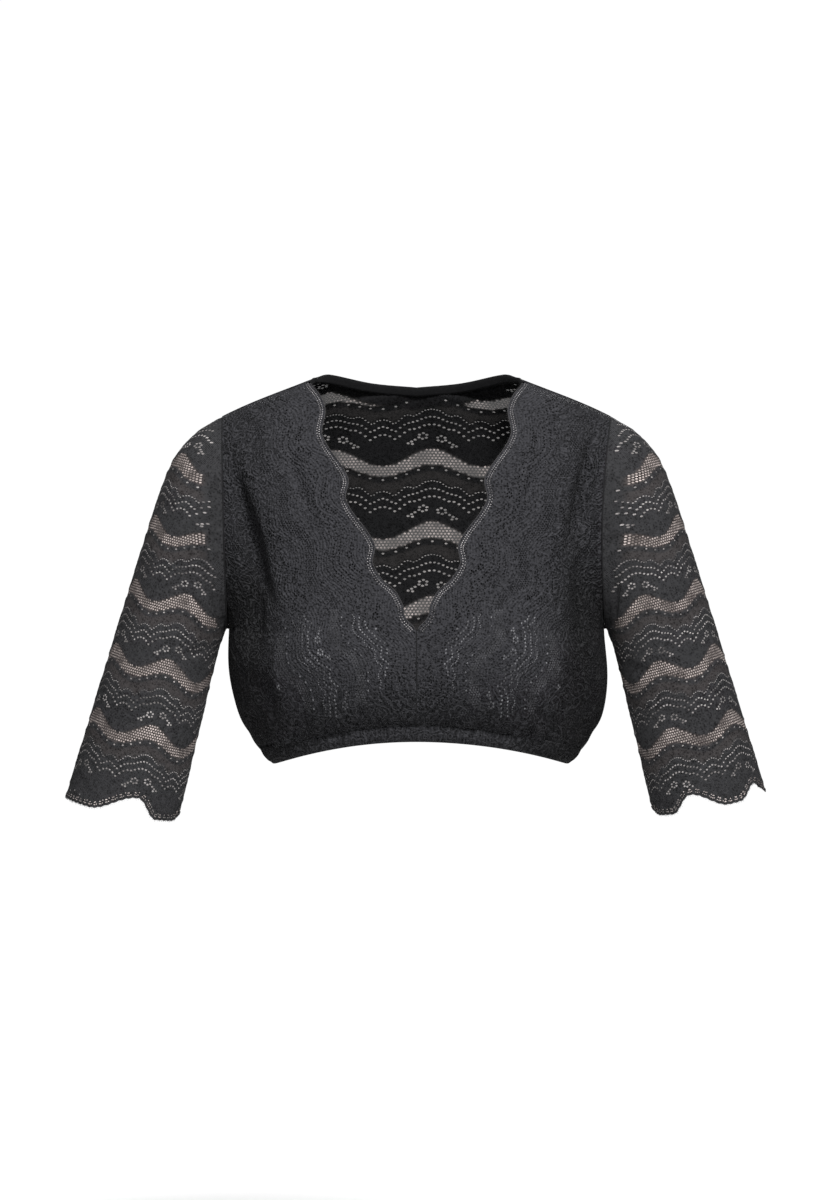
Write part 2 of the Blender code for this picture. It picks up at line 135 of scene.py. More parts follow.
CENTRE_BACK = np.array([
    (0.00, 0.0, 0.0880, -0.3240),
    (0.05, 0.0, 0.0960, -0.3140),
    (0.12, 0.0, 0.1010, -0.2940),
    (0.20, 0.0, 0.1050, -0.2650),
    (0.32, 0.0, 0.1090, -0.2220),
    (0.50, 0.0, 0.1120, -0.1540),
    (0.66, 0.0, 0.1090, -0.0920),
    (0.78, 0.0, 0.0975, -0.0390),
    (0.88, 0.0, 0.0790, 0.0090),
])
BACK_NECKLINE = np.array([
    (0.88, 0.0000, 0.0790, 0.0090),
    (0.92, 0.0450, 0.0700, 0.0125),
    (0.96, 0.0830, 0.0400, 0.0185),
    (1.00, 0.1010, 0.0040, 0.0175),
])

# Bends of a row: share, reach, turn and drop at the inner rail, then at the outer rail
FRONT_BENDS = np.array([
    (0.00, 0.48, 0, 0.00, 0.34, 90, 0.00),
    (0.20, 0.50, 0, 0.00, 0.36, 90, 0.00),
    (0.32, 0.48, 0, 0.00, 0.34, 88, 0.00),
    (0.49, 0.38, 4, 0.00, 0.34, 55, 0.05),
    (0.66, 0.34, 8, 0.06, 0.34, 38, 0.12),
    (0.83, 0.34, 8, 0.20, 0.34, 24, 0.30),
    (1.00, 0.33, 0, 0.40, 0.33, 0, 0.52),
])
BACK_BENDS = np.array([
    (0.00, 0.48, 0, 0.00, 0.34, 90, 0.00),
    (0.20, 0.50, 0, 0.00, 0.36, 90, 0.00),
    (0.32, 0.48, 0, 0.00, 0.34, 88, 0.00),
    (0.50, 0.42, 0, 0.00, 0.34, 52, 0.05),
    (0.66, 0.40, 2, 0.00, 0.34, 36, 0.12),
    (0.83, 0.38, 8, 0.10, 0.34, 24, 0.30),
    (1.00, 0.33, 0, 0.40, 0.33, 0, 0.52),
])

# Sleeve rings: share, top x, top z, under x, under z, front, back, y, share of the armhole's dip, and lift of
# the front
SLEEVE = np.array([
    (0.00, TIP_X, TIP_Z, ARMPIT_X, ARMPIT_Z, ARMHOLE_FRONT, ARMHOLE_BACK, ARMHOLE_Y, 1.0, 0.000),
    (0.07, 0.2125, -0.0330, 0.1852, -0.2262, 0.0535, 0.0610, 0.003, 0.7, 0.000),
    (0.14, 0.2360, -0.0590, 0.1862, -0.2280, 0.0545, 0.0610, 0.002, 0.4, 0.000),
    (0.24, 0.2535, -0.1030, 0.1875, -0.2315, 0.0550, 0.0600, 0.000, 0.1, 0.001),
    (0.37, 0.2710, -0.1590, 0.1895, -0.2370, 0.0550, 0.0580, -0.003, 0.0, 0.002),
    (0.49, 0.2860, -0.2080, 0.1930, -0.2480, 0.0545, 0.0560, -0.006, 0.0, 0.003),
    (1.00, 0.3412, -0.3925, 0.2320, -0.4155, 0.0540, 0.0550, -0.018, 0.0, 0.003),
])
SLEEVE_SEAM_TOP = 0.0004
SLEEVE_SEAM_ARMPIT = 0.0019
SLEEVE_LENGTH = 0.395
SLEEVE_TILT = math.radians(16.5)
SLEEVE_RADIUS = 0.0565
CUFF_RIPPLE, CUFF_RIPPLE_PITCH = 0.0010, 0.0062

# Main folds of the fronts: side, start x and z, end x and z, depth, half width
FOLDS = (
    (-1, 0.180, -0.060, 0.137, -0.210, 0.0060, 0.0100),
    (-1, 0.124, -0.040, 0.096, -0.130, 0.0022, 0.0090),
    (1, 0.176, -0.020, 0.143, -0.150, 0.0055, 0.0100),
    (1, 0.120, -0.020, 0.106, -0.110, 0.0018, 0.0085),
)

# Creases of the cloth beyond the plain solids: side, start x and z, end x and z, depth, half width
FRONT_CREASES = (
    (-1, 0.180, -0.066, 0.137, -0.215, 0.0058, 0.0062),
    (-1, 0.166, -0.150, 0.150, -0.262, 0.0026, 0.0070),
    (-1, 0.150, -0.262, 0.136, -0.322, 0.0020, 0.0060),
    (-1, 0.126, -0.042, 0.097, -0.132, 0.0022, 0.0048),
    (-1, 0.112, -0.285, 0.098, -0.327, 0.0016, 0.0050),
    (-1, 0.060, -0.280, 0.052, -0.322, 0.0010, 0.0045),
    (-1, 0.168, -0.305, 0.138, -0.338, 0.0030, 0.0060),
    (1, 0.177, -0.026, 0.143, -0.160, 0.0052, 0.0062),
    (1, 0.168, -0.140, 0.152, -0.255, 0.0024, 0.0070),
    (1, 0.120, -0.026, 0.106, -0.112, 0.0019, 0.0048),
    (1, 0.118, -0.300, 0.128, -0.339, 0.0030, 0.0050),
    (1, 0.138, -0.292, 0.134, -0.338, 0.0022, 0.0045),
    (1, 0.068, -0.296, 0.062, -0.322, 0.0014, 0.0045),
    (1, 0.026, -0.300, 0.020, -0.322, 0.0010, 0.0040),
    (1, 0.060, -0.318, 0.044, -0.330, 0.0012, 0.0040),
)
# Broad hollows where the cloth falls back beside the bust and above the hem's corners
FRONT_HOLLOWS = (
    (-1, 0.168, -0.095, 0.148, -0.262, 0.0095, 0.0150),
    (-1, 0.158, -0.262, 0.146, -0.330, 0.0060, 0.0150),
    (1, 0.170, -0.065, 0.154, -0.240, 0.0085, 0.0145),
    (1, 0.160, -0.250, 0.150, -0.330, 0.0055, 0.0150),
)
BACK_CREASES = (
    (1, 0.168, -0.060, 0.110, -0.190, 0.0030, 0.0110),
    (1, 0.150, -0.180, 0.118, -0.320, 0.0024, 0.0100),
    (1, 0.090, -0.230, 0.078, -0.325, 0.0018, 0.0080),
    (1, 0.020, -0.250, 0.026, -0.325, 0.0014, 0.0070),
    (-1, 0.170, -0.070, 0.120, -0.185, 0.0026, 0.0110),
    (-1, 0.154, -0.200, 0.110, -0.322, 0.0026, 0.0100),
    (-1, 0.070, -0.240, 0.060, -0.322, 0.0016, 0.0080),
)
# On the sleeves: side, start share and angle, end share and angle, depth, half width
SLEEVE_CREASES = (
    (-1, 0.06, -28, 0.30, -74, 0.0026, 0.0060),
    (-1, 0.16, 8, 0.36, -40, 0.0014, 0.0065),
    (-1, 0.48, -60, 0.60, -8, 0.0012, 0.0060),
    (-1, 0.05, 208, 0.34, 250, 0.0026, 0.0070),
    (-1, 0.52, 236, 0.66, 180, 0.0016, 0.0070),
    (1, 0.06, -24, 0.28, -72, 0.0024, 0.0060),
    (1, 0.18, 4, 0.40, -44, 0.0013, 0.0065),
    (1, 0.54, -62, 0.64, -4, 0.0012, 0.0060),
    (1, 0.05, 212, 0.32, 254, 0.0026, 0.0070),
    (1, 0.50, 240, 0.62, 176, 0.0016, 0.0070),
)

rng = np.random.default_rng(7)


# Points and lines, one point to a row

def stack(*values):
    """Numbers and lists of numbers side by side, as the columns of a table."""
    return np.stack(np.broadcast_arrays(*values), axis=1)


def unit(vectors):
    return vectors / np.linalg.norm(vectors, axis=1)[:, None]


def joined(*lines):
    """A closed outline of lines that each start where the one before ends."""
    return np.concatenate([line[:-1] for line in lines])


def lengths_along(line):
    """How far along the line each of its points lies."""
    return np.concatenate(([0.0], np.cumsum(np.linalg.norm(np.diff(line, axis=0), axis=1))))


def points_at(line, along, at):
    """The line's points at these lengths along it."""
    return np.stack([np.interp(at, along, values) for values in line.T], axis=1)


def grid_faces(count, width, closed_rows=False, closed_columns=False, turned=False, start=0):
    """Faces over rows of points, each row this wide. Turned faces look the other way."""
    faces = []
    for i in range(count if closed_rows else count - 1):
        row, below = start + i * width, start + (i + 1) % count * width
        for j in range(width if closed_columns else width - 1):
            k = (j + 1) % width
            corners = (row + j, row + k, below + k, below + j)
            faces.append((corners[0], *corners[:0:-1]) if turned else corners)
    return faces


# Shapes of the panels

def smooth(low, high, value):
    share = np.clip((value - low) / (high - low), 0.0, 1.0)
    return share * share * (3.0 - 2.0 * share)


def read(table, share):
    """The table's rows at these shares, without the share column, on a smooth curve through the rows."""
    share = np.asarray(share, float)
    last = len(table) - 1
    i = np.clip(np.searchsorted(table[:, 0], share, side="right") - 1, 0, last - 1)
    a, b = table[i], table[i + 1]
    before, after = table[np.maximum(i - 1, 0)], table[np.minimum(i + 2, last)]
    width = (b[:, 0] - a[:, 0])[:, None]
    f = (share - a[:, 0])[:, None] / width
    slope_a = (b - before) / (b[:, :1] - before[:, :1]) * width
    slope_b = (after - a) / (after[:, :1] - a[:, :1]) * width
    found = (
        (2 * f**3 - 3 * f**2 + 1) * a
        + (f**3 - 2 * f**2 + f) * slope_a
        + (3 * f**2 - 2 * f**3) * b
        + (f**3 - f**2) * slope_b
    )
    return found[:, 1:]


def oval(ring, angle, side):
    """Points of sleeve rings. Angle 0 is the front, 90 degrees the top and 180 the back."""
    top_x, top_z, under_x, under_z, front, back, y, dip_share, lift = ring.T
    half, forward = (np.sin(angle) + 1.0) / 2.0, np.cos(angle)
    before = forward > 0
    dip = np.where(before, ARMHOLE_DIP_LEFT if side > 0 else ARMHOLE_DIP_RIGHT, ARMHOLE_DIP_BACK)
    return stack(
        under_x + (top_x - under_x) * half - dip_share * dip * forward**2,
        y - np.where(before, front, back) * forward,
        under_z + (top_z - under_z) * half + lift * forward,
    )


def outer_rail(share, back, side):
    climbed = (share - ARMPIT_SHARE) / (1.0 - ARMPIT_SHARE)
    angle = np.radians(-90.0 + 180.0 * climbed)
    ring = np.repeat(SLEEVE[:1, 1:], len(share), axis=0)
    armhole = oval(ring, np.pi - angle if back else angle, side)
    seam = read(SIDE_SEAM, np.minimum(share, ARMPIT_SHARE))
    return np.where((share <= ARMPIT_SHARE)[:, None], seam, armhole)


def inner_rail(share, back):
    low, high, turn = CENTRE_FRONT, NECKLINE, ARMPIT_SHARE
    if back:
        low, high, turn = CENTRE_BACK, BACK_NECKLINE, BACK_NECK_SHARE
    below = read(low, np.minimum(share, turn))
    above = read(high, np.maximum(share, turn))
    return np.where((share <= turn)[:, None], below, above)


def row_curve(share, back, side):
    start, end = inner_rail(share, back), outer_rail(share, back, side)
    bend = read(BACK_BENDS if back else FRONT_BENDS, share)
    chord = np.linalg.norm(end - start, axis=1)[:, None]
    facing = -1.0 if back else 1.0

    def heading(turn, drop):
        turn = np.radians(turn)
        return unit(stack(np.cos(turn), facing * np.sin(turn), -drop))

    return (
        start,
        start + heading(bend[:, 1], bend[:, 2]) * chord * bend[:, :1],
        end - heading(bend[:, 4], bend[:, 5]) * chord * bend[:, 3:4],
        end,
    )


def on_curve(controls, s):
    a, b, c, d = controls
    s = s[:, None]
    r = 1.0 - s
    return a * r**3 + b * (3 * s * r**2) + c * (3 * s**2 * r) + d * s**3


def from_line(x, y, x0, y0, x1, y1):
    """Share of the way along a line from one point to another, and the distance across from it."""
    run = np.array((x1 - x0, y1 - y0))
    length = np.linalg.norm(run)
    along = ((x - x0) * run[0] + (y - y0) * run[1]) / length**2
    return along, ((x - x0) * run[1] - (y - y0) * run[0]) / length


def fold_depth(x, z, side):
    total = np.zeros_like(x)
    for fold_side, *ends, depth, width in FOLDS:
        if fold_side == side:
            along, across = from_line(x, z, *ends)
            fade = smooth(-0.15, 0.30, along) * (1.0 - smooth(0.55, 1.15, along))
            total += depth * fade * np.exp(-((across / width) ** 2))
    return total


def crease_line(x, y, x0, y0, x1, y1, depth, width, beside=0.40):
    """Depth of a soft trough along a line, fading at both ends, with a low ridge beside it."""
    along, across = from_line(x, y, x0, y0, x1, y1)
    across = across + 0.25 * width * np.sin(along * 7.0 + x0 * 90.0)
    fade = smooth(-0.12, 0.35, along) * (1.0 - smooth(0.60, 1.12, along))
    trough = np.exp(-((across / width) ** 2))
    ridge = beside * np.exp(-(((across - 1.9 * width) / (1.1 * width)) ** 2))
    return depth * fade * (trough - ridge)


def cup(x, z):
    return CUP_DEPTH * np.exp(-(((x - CUP_X) / CUP_WIDE) ** 2) - ((z - CUP_Z) / CUP_HIGH) ** 2)


def lean(p):
    low = 1.0 - smooth(LEAN_FULL_Z, LEAN_TOP_Z, p[:, 2])
    p = p.copy()
    p[:, 0] += LEAN * low * smooth(0.0, LEAN_FULL_X, np.abs(p[:, 0]))
    return p


def panel_point(share, across, back, side):
    """Points of the bodice on this side, across from 0 at the inner rail to 1 at the outer one."""
    p = on_curve(row_curve(share, back, side), across)
    if not back:
        inside = (1.0 - smooth(0.86, 1.0, across)) * (1.0 - smooth(0.93, 1.0, share))
        p[:, 1] -= cup(p[:, 0], p[:, 2]) - fold_depth(p[:, 0], p[:, 2], side) * inside
    p[:, 0] *= side
    return lean(p)


def sleeve_point(share, angle, side):
    p = oval(read(SLEEVE, share), angle, side)
    low = (1.0 - np.sin(angle)) / 2.0
    seam = SLEEVE_SEAM_TOP + (SLEEVE_SEAM_ARMPIT - SLEEVE_SEAM_TOP) * low
    p[:, 0] += seam * np.clip(1.0 - share / SLEEVE[1, 0], 0.0, 1.0)
    p[:, 0] *= side
    return p


def neck_cut(share):
    from_top = (1.0 - share) / (1.0 - ARMPIT_SHARE)
    f = (from_top - NECK_FIRST_POINT_SHARE) / NECK_SCALLOP_SHARE % 1.0
    ease = np.where(
        f < NECK_NOTCH_AT,
        0.5 - 0.5 * np.cos(np.pi * f / NECK_NOTCH_AT),
        0.5 + 0.5 * np.cos(np.pi * (f - NECK_NOTCH_AT) / (1.0 - NECK_NOTCH_AT)),
    )
    at_top = 0.4 + 0.6 * smooth(0.0, 0.12, from_top)
    at_tip = 1.0 - smooth(NECK_LAST_POINT_SHARE, NECK_LAST_POINT_SHARE + 0.065, from_top)
    tip = NECK_TIP_DEPTH * smooth(0.895, 0.940, from_top) * (1.0 - smooth(0.950, 0.985, from_top))
    return NECK_SCALLOP_DEPTH * ease * at_top * at_tip + tip


def cuff_cut(angle, side):
    deepest = np.zeros_like(angle)
    for middle, depth, inward, outward in LEFT_CUFF if side > 0 else RIGHT_CUFF:
        away = (np.degrees(angle) - middle + 180.0) % 360.0 - 180.0
        share = np.minimum(1.0, np.where(away > 0, away / outward, -away / inward))
        deepest = np.maximum(deepest, depth * (0.5 + 0.5 * np.cos(np.pi * share)))
    shorter = LEFT_CUFF_SHORTER if side > 0 else 0.0
    return deepest + shorter + CUFF_BACK_SHORTER * (0.5 - 0.5 * np.cos(angle))


# The lace's repeat. Across it runs from 0 to 1 with a crest at 0.5. Down it runs from 0 at the net band's
# middle under a trough to 1 at the next band. The charts give one half, nearly its own mirror image.

ARC_ONE = np.array([
    (0.00, 0.273), (0.06, 0.292), (0.11, 0.341), (0.17, 0.286), (0.22, 0.224), (0.26, 0.212), (0.31, 0.232),
    (0.36, 0.205), (0.42, 0.150), (0.50, 0.127),
])
ARC_TWO = np.array([
    (0.00, 0.374), (0.06, 0.395), (0.12, 0.452), (0.18, 0.385), (0.23, 0.338), (0.28, 0.322), (0.34, 0.304),
    (0.42, 0.255), (0.50, 0.230),
])
ARC_THREE = np.array([
    (0.00, 0.482), (0.06, 0.500), (0.13, 0.556), (0.19, 0.489), (0.26, 0.420), (0.34, 0.410), (0.42, 0.360),
    (0.50, 0.338),
])
LONE_EYELETS = (0.00, 0.13, 0.24, 0.36, 0.50)
LEAF_EYELETS = (
    (0.370, 0.492), (0.410, 0.470), (0.445, 0.492), (0.440, 0.532), (0.400, 0.548), (0.365, 0.530),
    (0.325, 0.562), (0.290, 0.588), (0.255, 0.612), (0.300, 0.622),
)
# Rows of eyelets: chart, first place, step, half width and half height, in shares of the repeat
EYELET_ROWS = (
    (ARC_ONE, 0.01, 0.0300, 0.0108, 0.0080),
    (ARC_TWO, 0.0, 0.0435, 0.0150, 0.0120),
    (ARC_THREE, 0.02, 0.0500, 0.0165, 0.0135),
)
NET_COLUMNS = 27
NET_ROW = 0.0375
NET_RISE = 0.200
NET_HALF_CREST, NET_HALF_TROUGH = 0.108, 0.072


def wave(p):
    """How far the middle of the net band lies below its trough level, negative at the crest."""
    return -NET_RISE * (0.5 - 0.5 * np.cos(2 * np.pi * p))


def net_half(p):
    return NET_HALF_TROUGH + (NET_HALF_CREST - NET_HALF_TROUGH) * (0.5 - 0.5 * np.cos(2 * np.pi * p))


def arc(chart, p):
    mirrored = np.minimum(p % 1.0, 1.0 - p % 1.0)
    return np.interp(mirrored, chart[:, 0], chart[:, 1])


def repeat_marks():
    """Eyelets and net holes of one repeat, in its shares: across, down, half width, half height, kind."""
    marks = []
    for chart, first, step, half_p, half_y in EYELET_ROWS:
        for p in np.arange(first, 1.0 - 0.4 * step, step):
            marks.append((p, float(arc(chart, p)), half_p, half_y, 0))
    for p in LONE_EYELETS:
        for q in {p, (1.0 - p) % 1.0}:
            marks.append((q, float(wave(q) + net_half(q) + 0.045), 0.0150, 0.0120, 0))
    for p, y in LEAF_EYELETS:
        marks.append((p, y, 0.0170, 0.0145, 0))
        marks.append((1.0 - p, y + 0.035, 0.0170, 0.0145, 0))
    eyelets = list(marks)
    for j in range(-10, 11):
        for i in range(NET_COLUMNS):
            p = (i + 0.5 * (j % 2)) / NET_COLUMNS
            y = j * NET_ROW
            if abs(y - wave(p)) > net_half(p):
                continue
            if all(abs((p - e[0] + 0.5) % 1.0 - 0.5) > 0.035 or abs(y - e[1]) > 0.030 for e in eyelets):
                marks.append((p, y, 0.0127, 0.0130, 1))
    return marks


# Kinds of mark: 0 eyelet, 1 net cell. The cuffs' border eyelets are 2. On the fronts 2 is an eyelet over the
# bust, 3 a border eyelet and 4 a net cell over the bust. A mark's material is the one after its kind.
MARKS = repeat_marks()
HEXAGON_TURN = 0.5236
HEXAGON_ANGLES = [k * math.tau / 6 + HEXAGON_TURN for k in range(6)]
HEXAGON = np.array([(math.cos(angle), math.sin(angle)) for angle in HEXAGON_ANGLES])


def tone(p, y):
    """How sheer (0 to 1) and how raised (0 to 1) the lace is at these places of the repeat."""
    p, y = p % 1.0, (y + 0.35) % 1.0 - 0.35
    from_net = np.abs(y - wave(p)) / net_half(p)
    net = 1.0 - smooth(0.95, 1.15, from_net)
    band_top = wave(p) + net_half(p) + 0.085
    arc_top = arc(ARC_ONE, p)
    band = smooth(band_top - 0.01, band_top + 0.02, y) * (1.0 - smooth(arc_top - 0.03, arc_top, y))
    cords = np.zeros_like(p)
    for chart in (ARC_ONE, ARC_TWO, ARC_THREE):
        cords = np.maximum(cords, np.exp(-(((y - arc(chart, p) - 0.045) / 0.020) ** 2)))
    edge = np.exp(-(((from_net - 1.25) / 0.22) ** 2))
    raised = 0.45 + 0.55 * np.maximum(cords, edge) - 0.45 * net - 0.25 * band
    return np.maximum(net, band * 0.40), np.clip(raised, 0, 1)


# Laying a sheet out flat and carrying it onto its panel

LACE_RELIEF, RIM_RELIEF = 0.0007, 0.00012
# How far eyelets stay from the sheet's edge, small ones from it too, and large ones from a border's edge
EDGE_CLEAR, SMALL_CLEAR, BORDER_CLEAR = 0.0016, 0.0008, 0.0068
CORD_RADIUS, PICOT_RADIUS = 0.00042, 0.00013
# Down the repeat, where the net gives way to dense lace at the borders
NET_END = 0.66
# Width of the dense lace along the armholes and the back neckline
ARMHOLE_DENSE, NECK_DENSE = 0.0085, 0.0180
# Small eyelets along a border: how far in, how far apart, half width, kind
CUFF_EYELETS = ((0.0027, 0.0023, 0.00052, 2), (0.0050, 0.0026, 0.00056, 2))
V_EYELETS = ((0.0026, 0.0022, 0.00052, 3), (0.0048, 0.0024, 0.00050, 3))


class Place:
    """Turns points of the flat cloth into places in the lace's repeat, and back."""

    def __init__(self, wide, tall, origin, across, down):
        self.size = np.array((wide, tall))
        self.origin = np.array(origin, float)
        self.axes = np.array((across, down), float)

    def __call__(self, points):
        return (points - self.origin) @ self.axes.T / self.size

    def back(self, spots):
        return (spots * self.size) @ self.axes + self.origin


def tree_of(points):
    tree = kdtree.KDTree(len(points))
    for k, (x, y) in enumerate(points):
        tree.insert((x, y, 0.0), k)
    tree.balance()
    return tree


def nearest(tree, points):
    """The number of the tree's point that is nearest to each of these, and how far away it is."""
    found = np.array([tree.find((x, y, 0.0))[1:] for x, y in points])
    return found[:, 0].astype(int), found[:, 1]


def inside(outline, points):
    """Which points lie within the closed outline."""
    found = np.zeros(len(points), bool)
    x, y = points[:, 0], points[:, 1]
    for (ax, ay), (bx, by) in zip(outline, np.roll(outline, -1, axis=0)):
        if ay == by:
            continue
        crosses = (ay > y) != (by > y)
        found ^= crosses & (x < (bx - ax) * (y - ay) / (by - ay) + ax)
    return found


def evenly(line, step):
    """Points this far apart along a line, with the line's left-hand direction at each."""
    along = lengths_along(line)
    at = np.arange(step / 2, along[-1], step)
    points = points_at(line, along, at)
    way = unit(points_at(line, along, np.minimum(at + step / 4, along[-1])) - points)
    return points, stack(-way[:, 1], way[:, 0])


class Panel:
    """A panel of the garment: its surface, its flat cloth, and a table that leads from the cloth back."""

    def __init__(self, surface, flat, us, vs, outward, creases):
        self.surface, self.flat, self.us, self.vs = surface, flat, us, vs
        self.outward, self.creases = outward, creases
        uu, vv = np.meshgrid(us, vs, indexing="ij")
        self.table = flat(uu.ravel(), vv.ravel())
        quads = grid_faces(len(us), len(vs), turned=True)
        self.tree = BVHTree.FromPolygons([(x, y, 0.0) for x, y in self.table], quads)

    def params(self, points):
        """The surface parameters of points on the flat cloth."""
        us, vs, columns = self.us, self.vs, len(self.vs)
        near = [self.tree.find_nearest((x, y, 0.0)) for x, y in points]
        places = np.array([(place.x, place.y) for place, _, _, _ in near])
        i, j = np.divmod(np.array([face for _, _, face, _ in near]), columns - 1)
        a = self.table[i * columns + j]
        du = self.table[(i + 1) * columns + j] - a
        dv = self.table[i * columns + j + 1] - a
        twist = self.table[(i + 1) * columns + j + 1] - a - du - dv
        f = np.full((len(points), 1), 0.5)
        g = f.copy()
        for _ in range(5):
            miss = a + du * f + dv * g + twist * (f * g) - places
            ju, jv = du + twist * g, dv + twist * f
            det = ju[:, :1] * jv[:, 1:] - ju[:, 1:] * jv[:, :1]
            f = np.clip(f - (miss[:, :1] * jv[:, 1:] - miss[:, 1:] * jv[:, :1]) / det, 0.0, 1.0)
            g = np.clip(g - (ju[:, :1] * miss[:, 1:] - ju[:, 1:] * miss[:, :1]) / det, 0.0, 1.0)
        return stack(us[i] + (us[i + 1] - us[i]) * f[:, 0], vs[j] + (vs[j + 1] - vs[j]) * g[:, 0])

    def normals(self, params):
        us, vs = self.us, self.vs
        du, dv = (us[-1] - us[0]) * 1e-3, (vs[-1] - vs[0]) * 1e-3
        u = np.clip(params[:, 0], us[0] + du, us[-1] - du)
        v = np.clip(params[:, 1], vs[0] + dv, vs[-1] - dv)
        over_u = self.surface(u + du, v) - self.surface(u - du, v)
        over_v = self.surface(u, v + dv) - self.surface(u, v - dv)
        return unit(np.cross(over_u, over_v)) * self.outward

    def place(self, params, out=0.0):
        """Points this far outside the creased panel."""
        spots = self.surface(*params.T)
        out = np.asarray(out) - self.creases(params, spots)
        return spots + self.normals(params) * np.broadcast_to(out, (len(spots),))[:, None]


def link(name, mesh, *materials):
    for material in materials:
        mesh.materials.append(material)
    body = bpy.data.objects.new(name, mesh)
    bpy.context.scene.collection.objects.link(body)
    mesh.shade_smooth()
    return body


def piece_of(name, points, faces, material):
    mesh = bpy.data.meshes.new(name)
    mesh.from_pydata(points.tolist(), [], faces)
    return link(name, mesh, material)


def mark_cloth(mesh, follow, tint):
    """Writes each point's place along the lace's wave, and its share of the material's second tone."""
    at = np.empty(len(mesh.loops), int)
    mesh.loops.foreach_get("vertex_index", at)
    mesh.uv_layers.new(name="lace").data.foreach_set("uv", follow[at].astype(np.float32).ravel())
    mesh.attributes.new("tint", "FLOAT", "POINT").data.foreach_set("value", tint.astype(np.float32))


def border_marks(borders):
    """The small eyelets that run along a lace border, as flat points with sizes and kinds."""
    marks = []
    for border, lines in borders:
        for inset, step, half, kind in lines:
            points, left = evenly(border, step)
            marks += [(x, y, half, half, kind) for x, y in points + left * inset]
    return marks


def repeat_marks_over(outline, place):
    """The marks of every repeat that could reach the outline: flat place, half sizes and kind."""
    low, high = outline.min(axis=0), outline.max(axis=0)
    corners = place(np.array([(x, y) for x in (low[0], high[0]) for y in (low[1], high[1])]))
    first, last = np.floor(corners.min(axis=0)) - 1, np.ceil(corners.max(axis=0)) + 1
    wide, tall = place.size
    marks = np.array([
        (p + i, y + j, half_p * wide, half_y * tall, kind)
        for i in range(int(first[0]), int(last[0]))
        for j in range(int(first[1]), int(last[1]))
        for p, y, half_p, half_y, kind in MARKS
    ])
    marks[:, :2] = place.back(marks[:, :2])
    return marks


def fill_points(outline, spacing):
    """Points inside the outline, in staggered rows and a little uneven."""
    low, high = outline.min(axis=0), outline.max(axis=0)
    rows = []
    for j in range(int((high[1] - low[1]) / (spacing * 0.87)) + 1):
        xs = np.arange(low[0] + spacing * 0.5 * (j % 2), high[0], spacing)
        rows.append(stack(xs, low[1] + spacing * 0.87 * j))
    points = np.concatenate(rows)
    points += rng.uniform(-0.12, 0.12, points.shape) * spacing
    return points[inside(outline, points)]


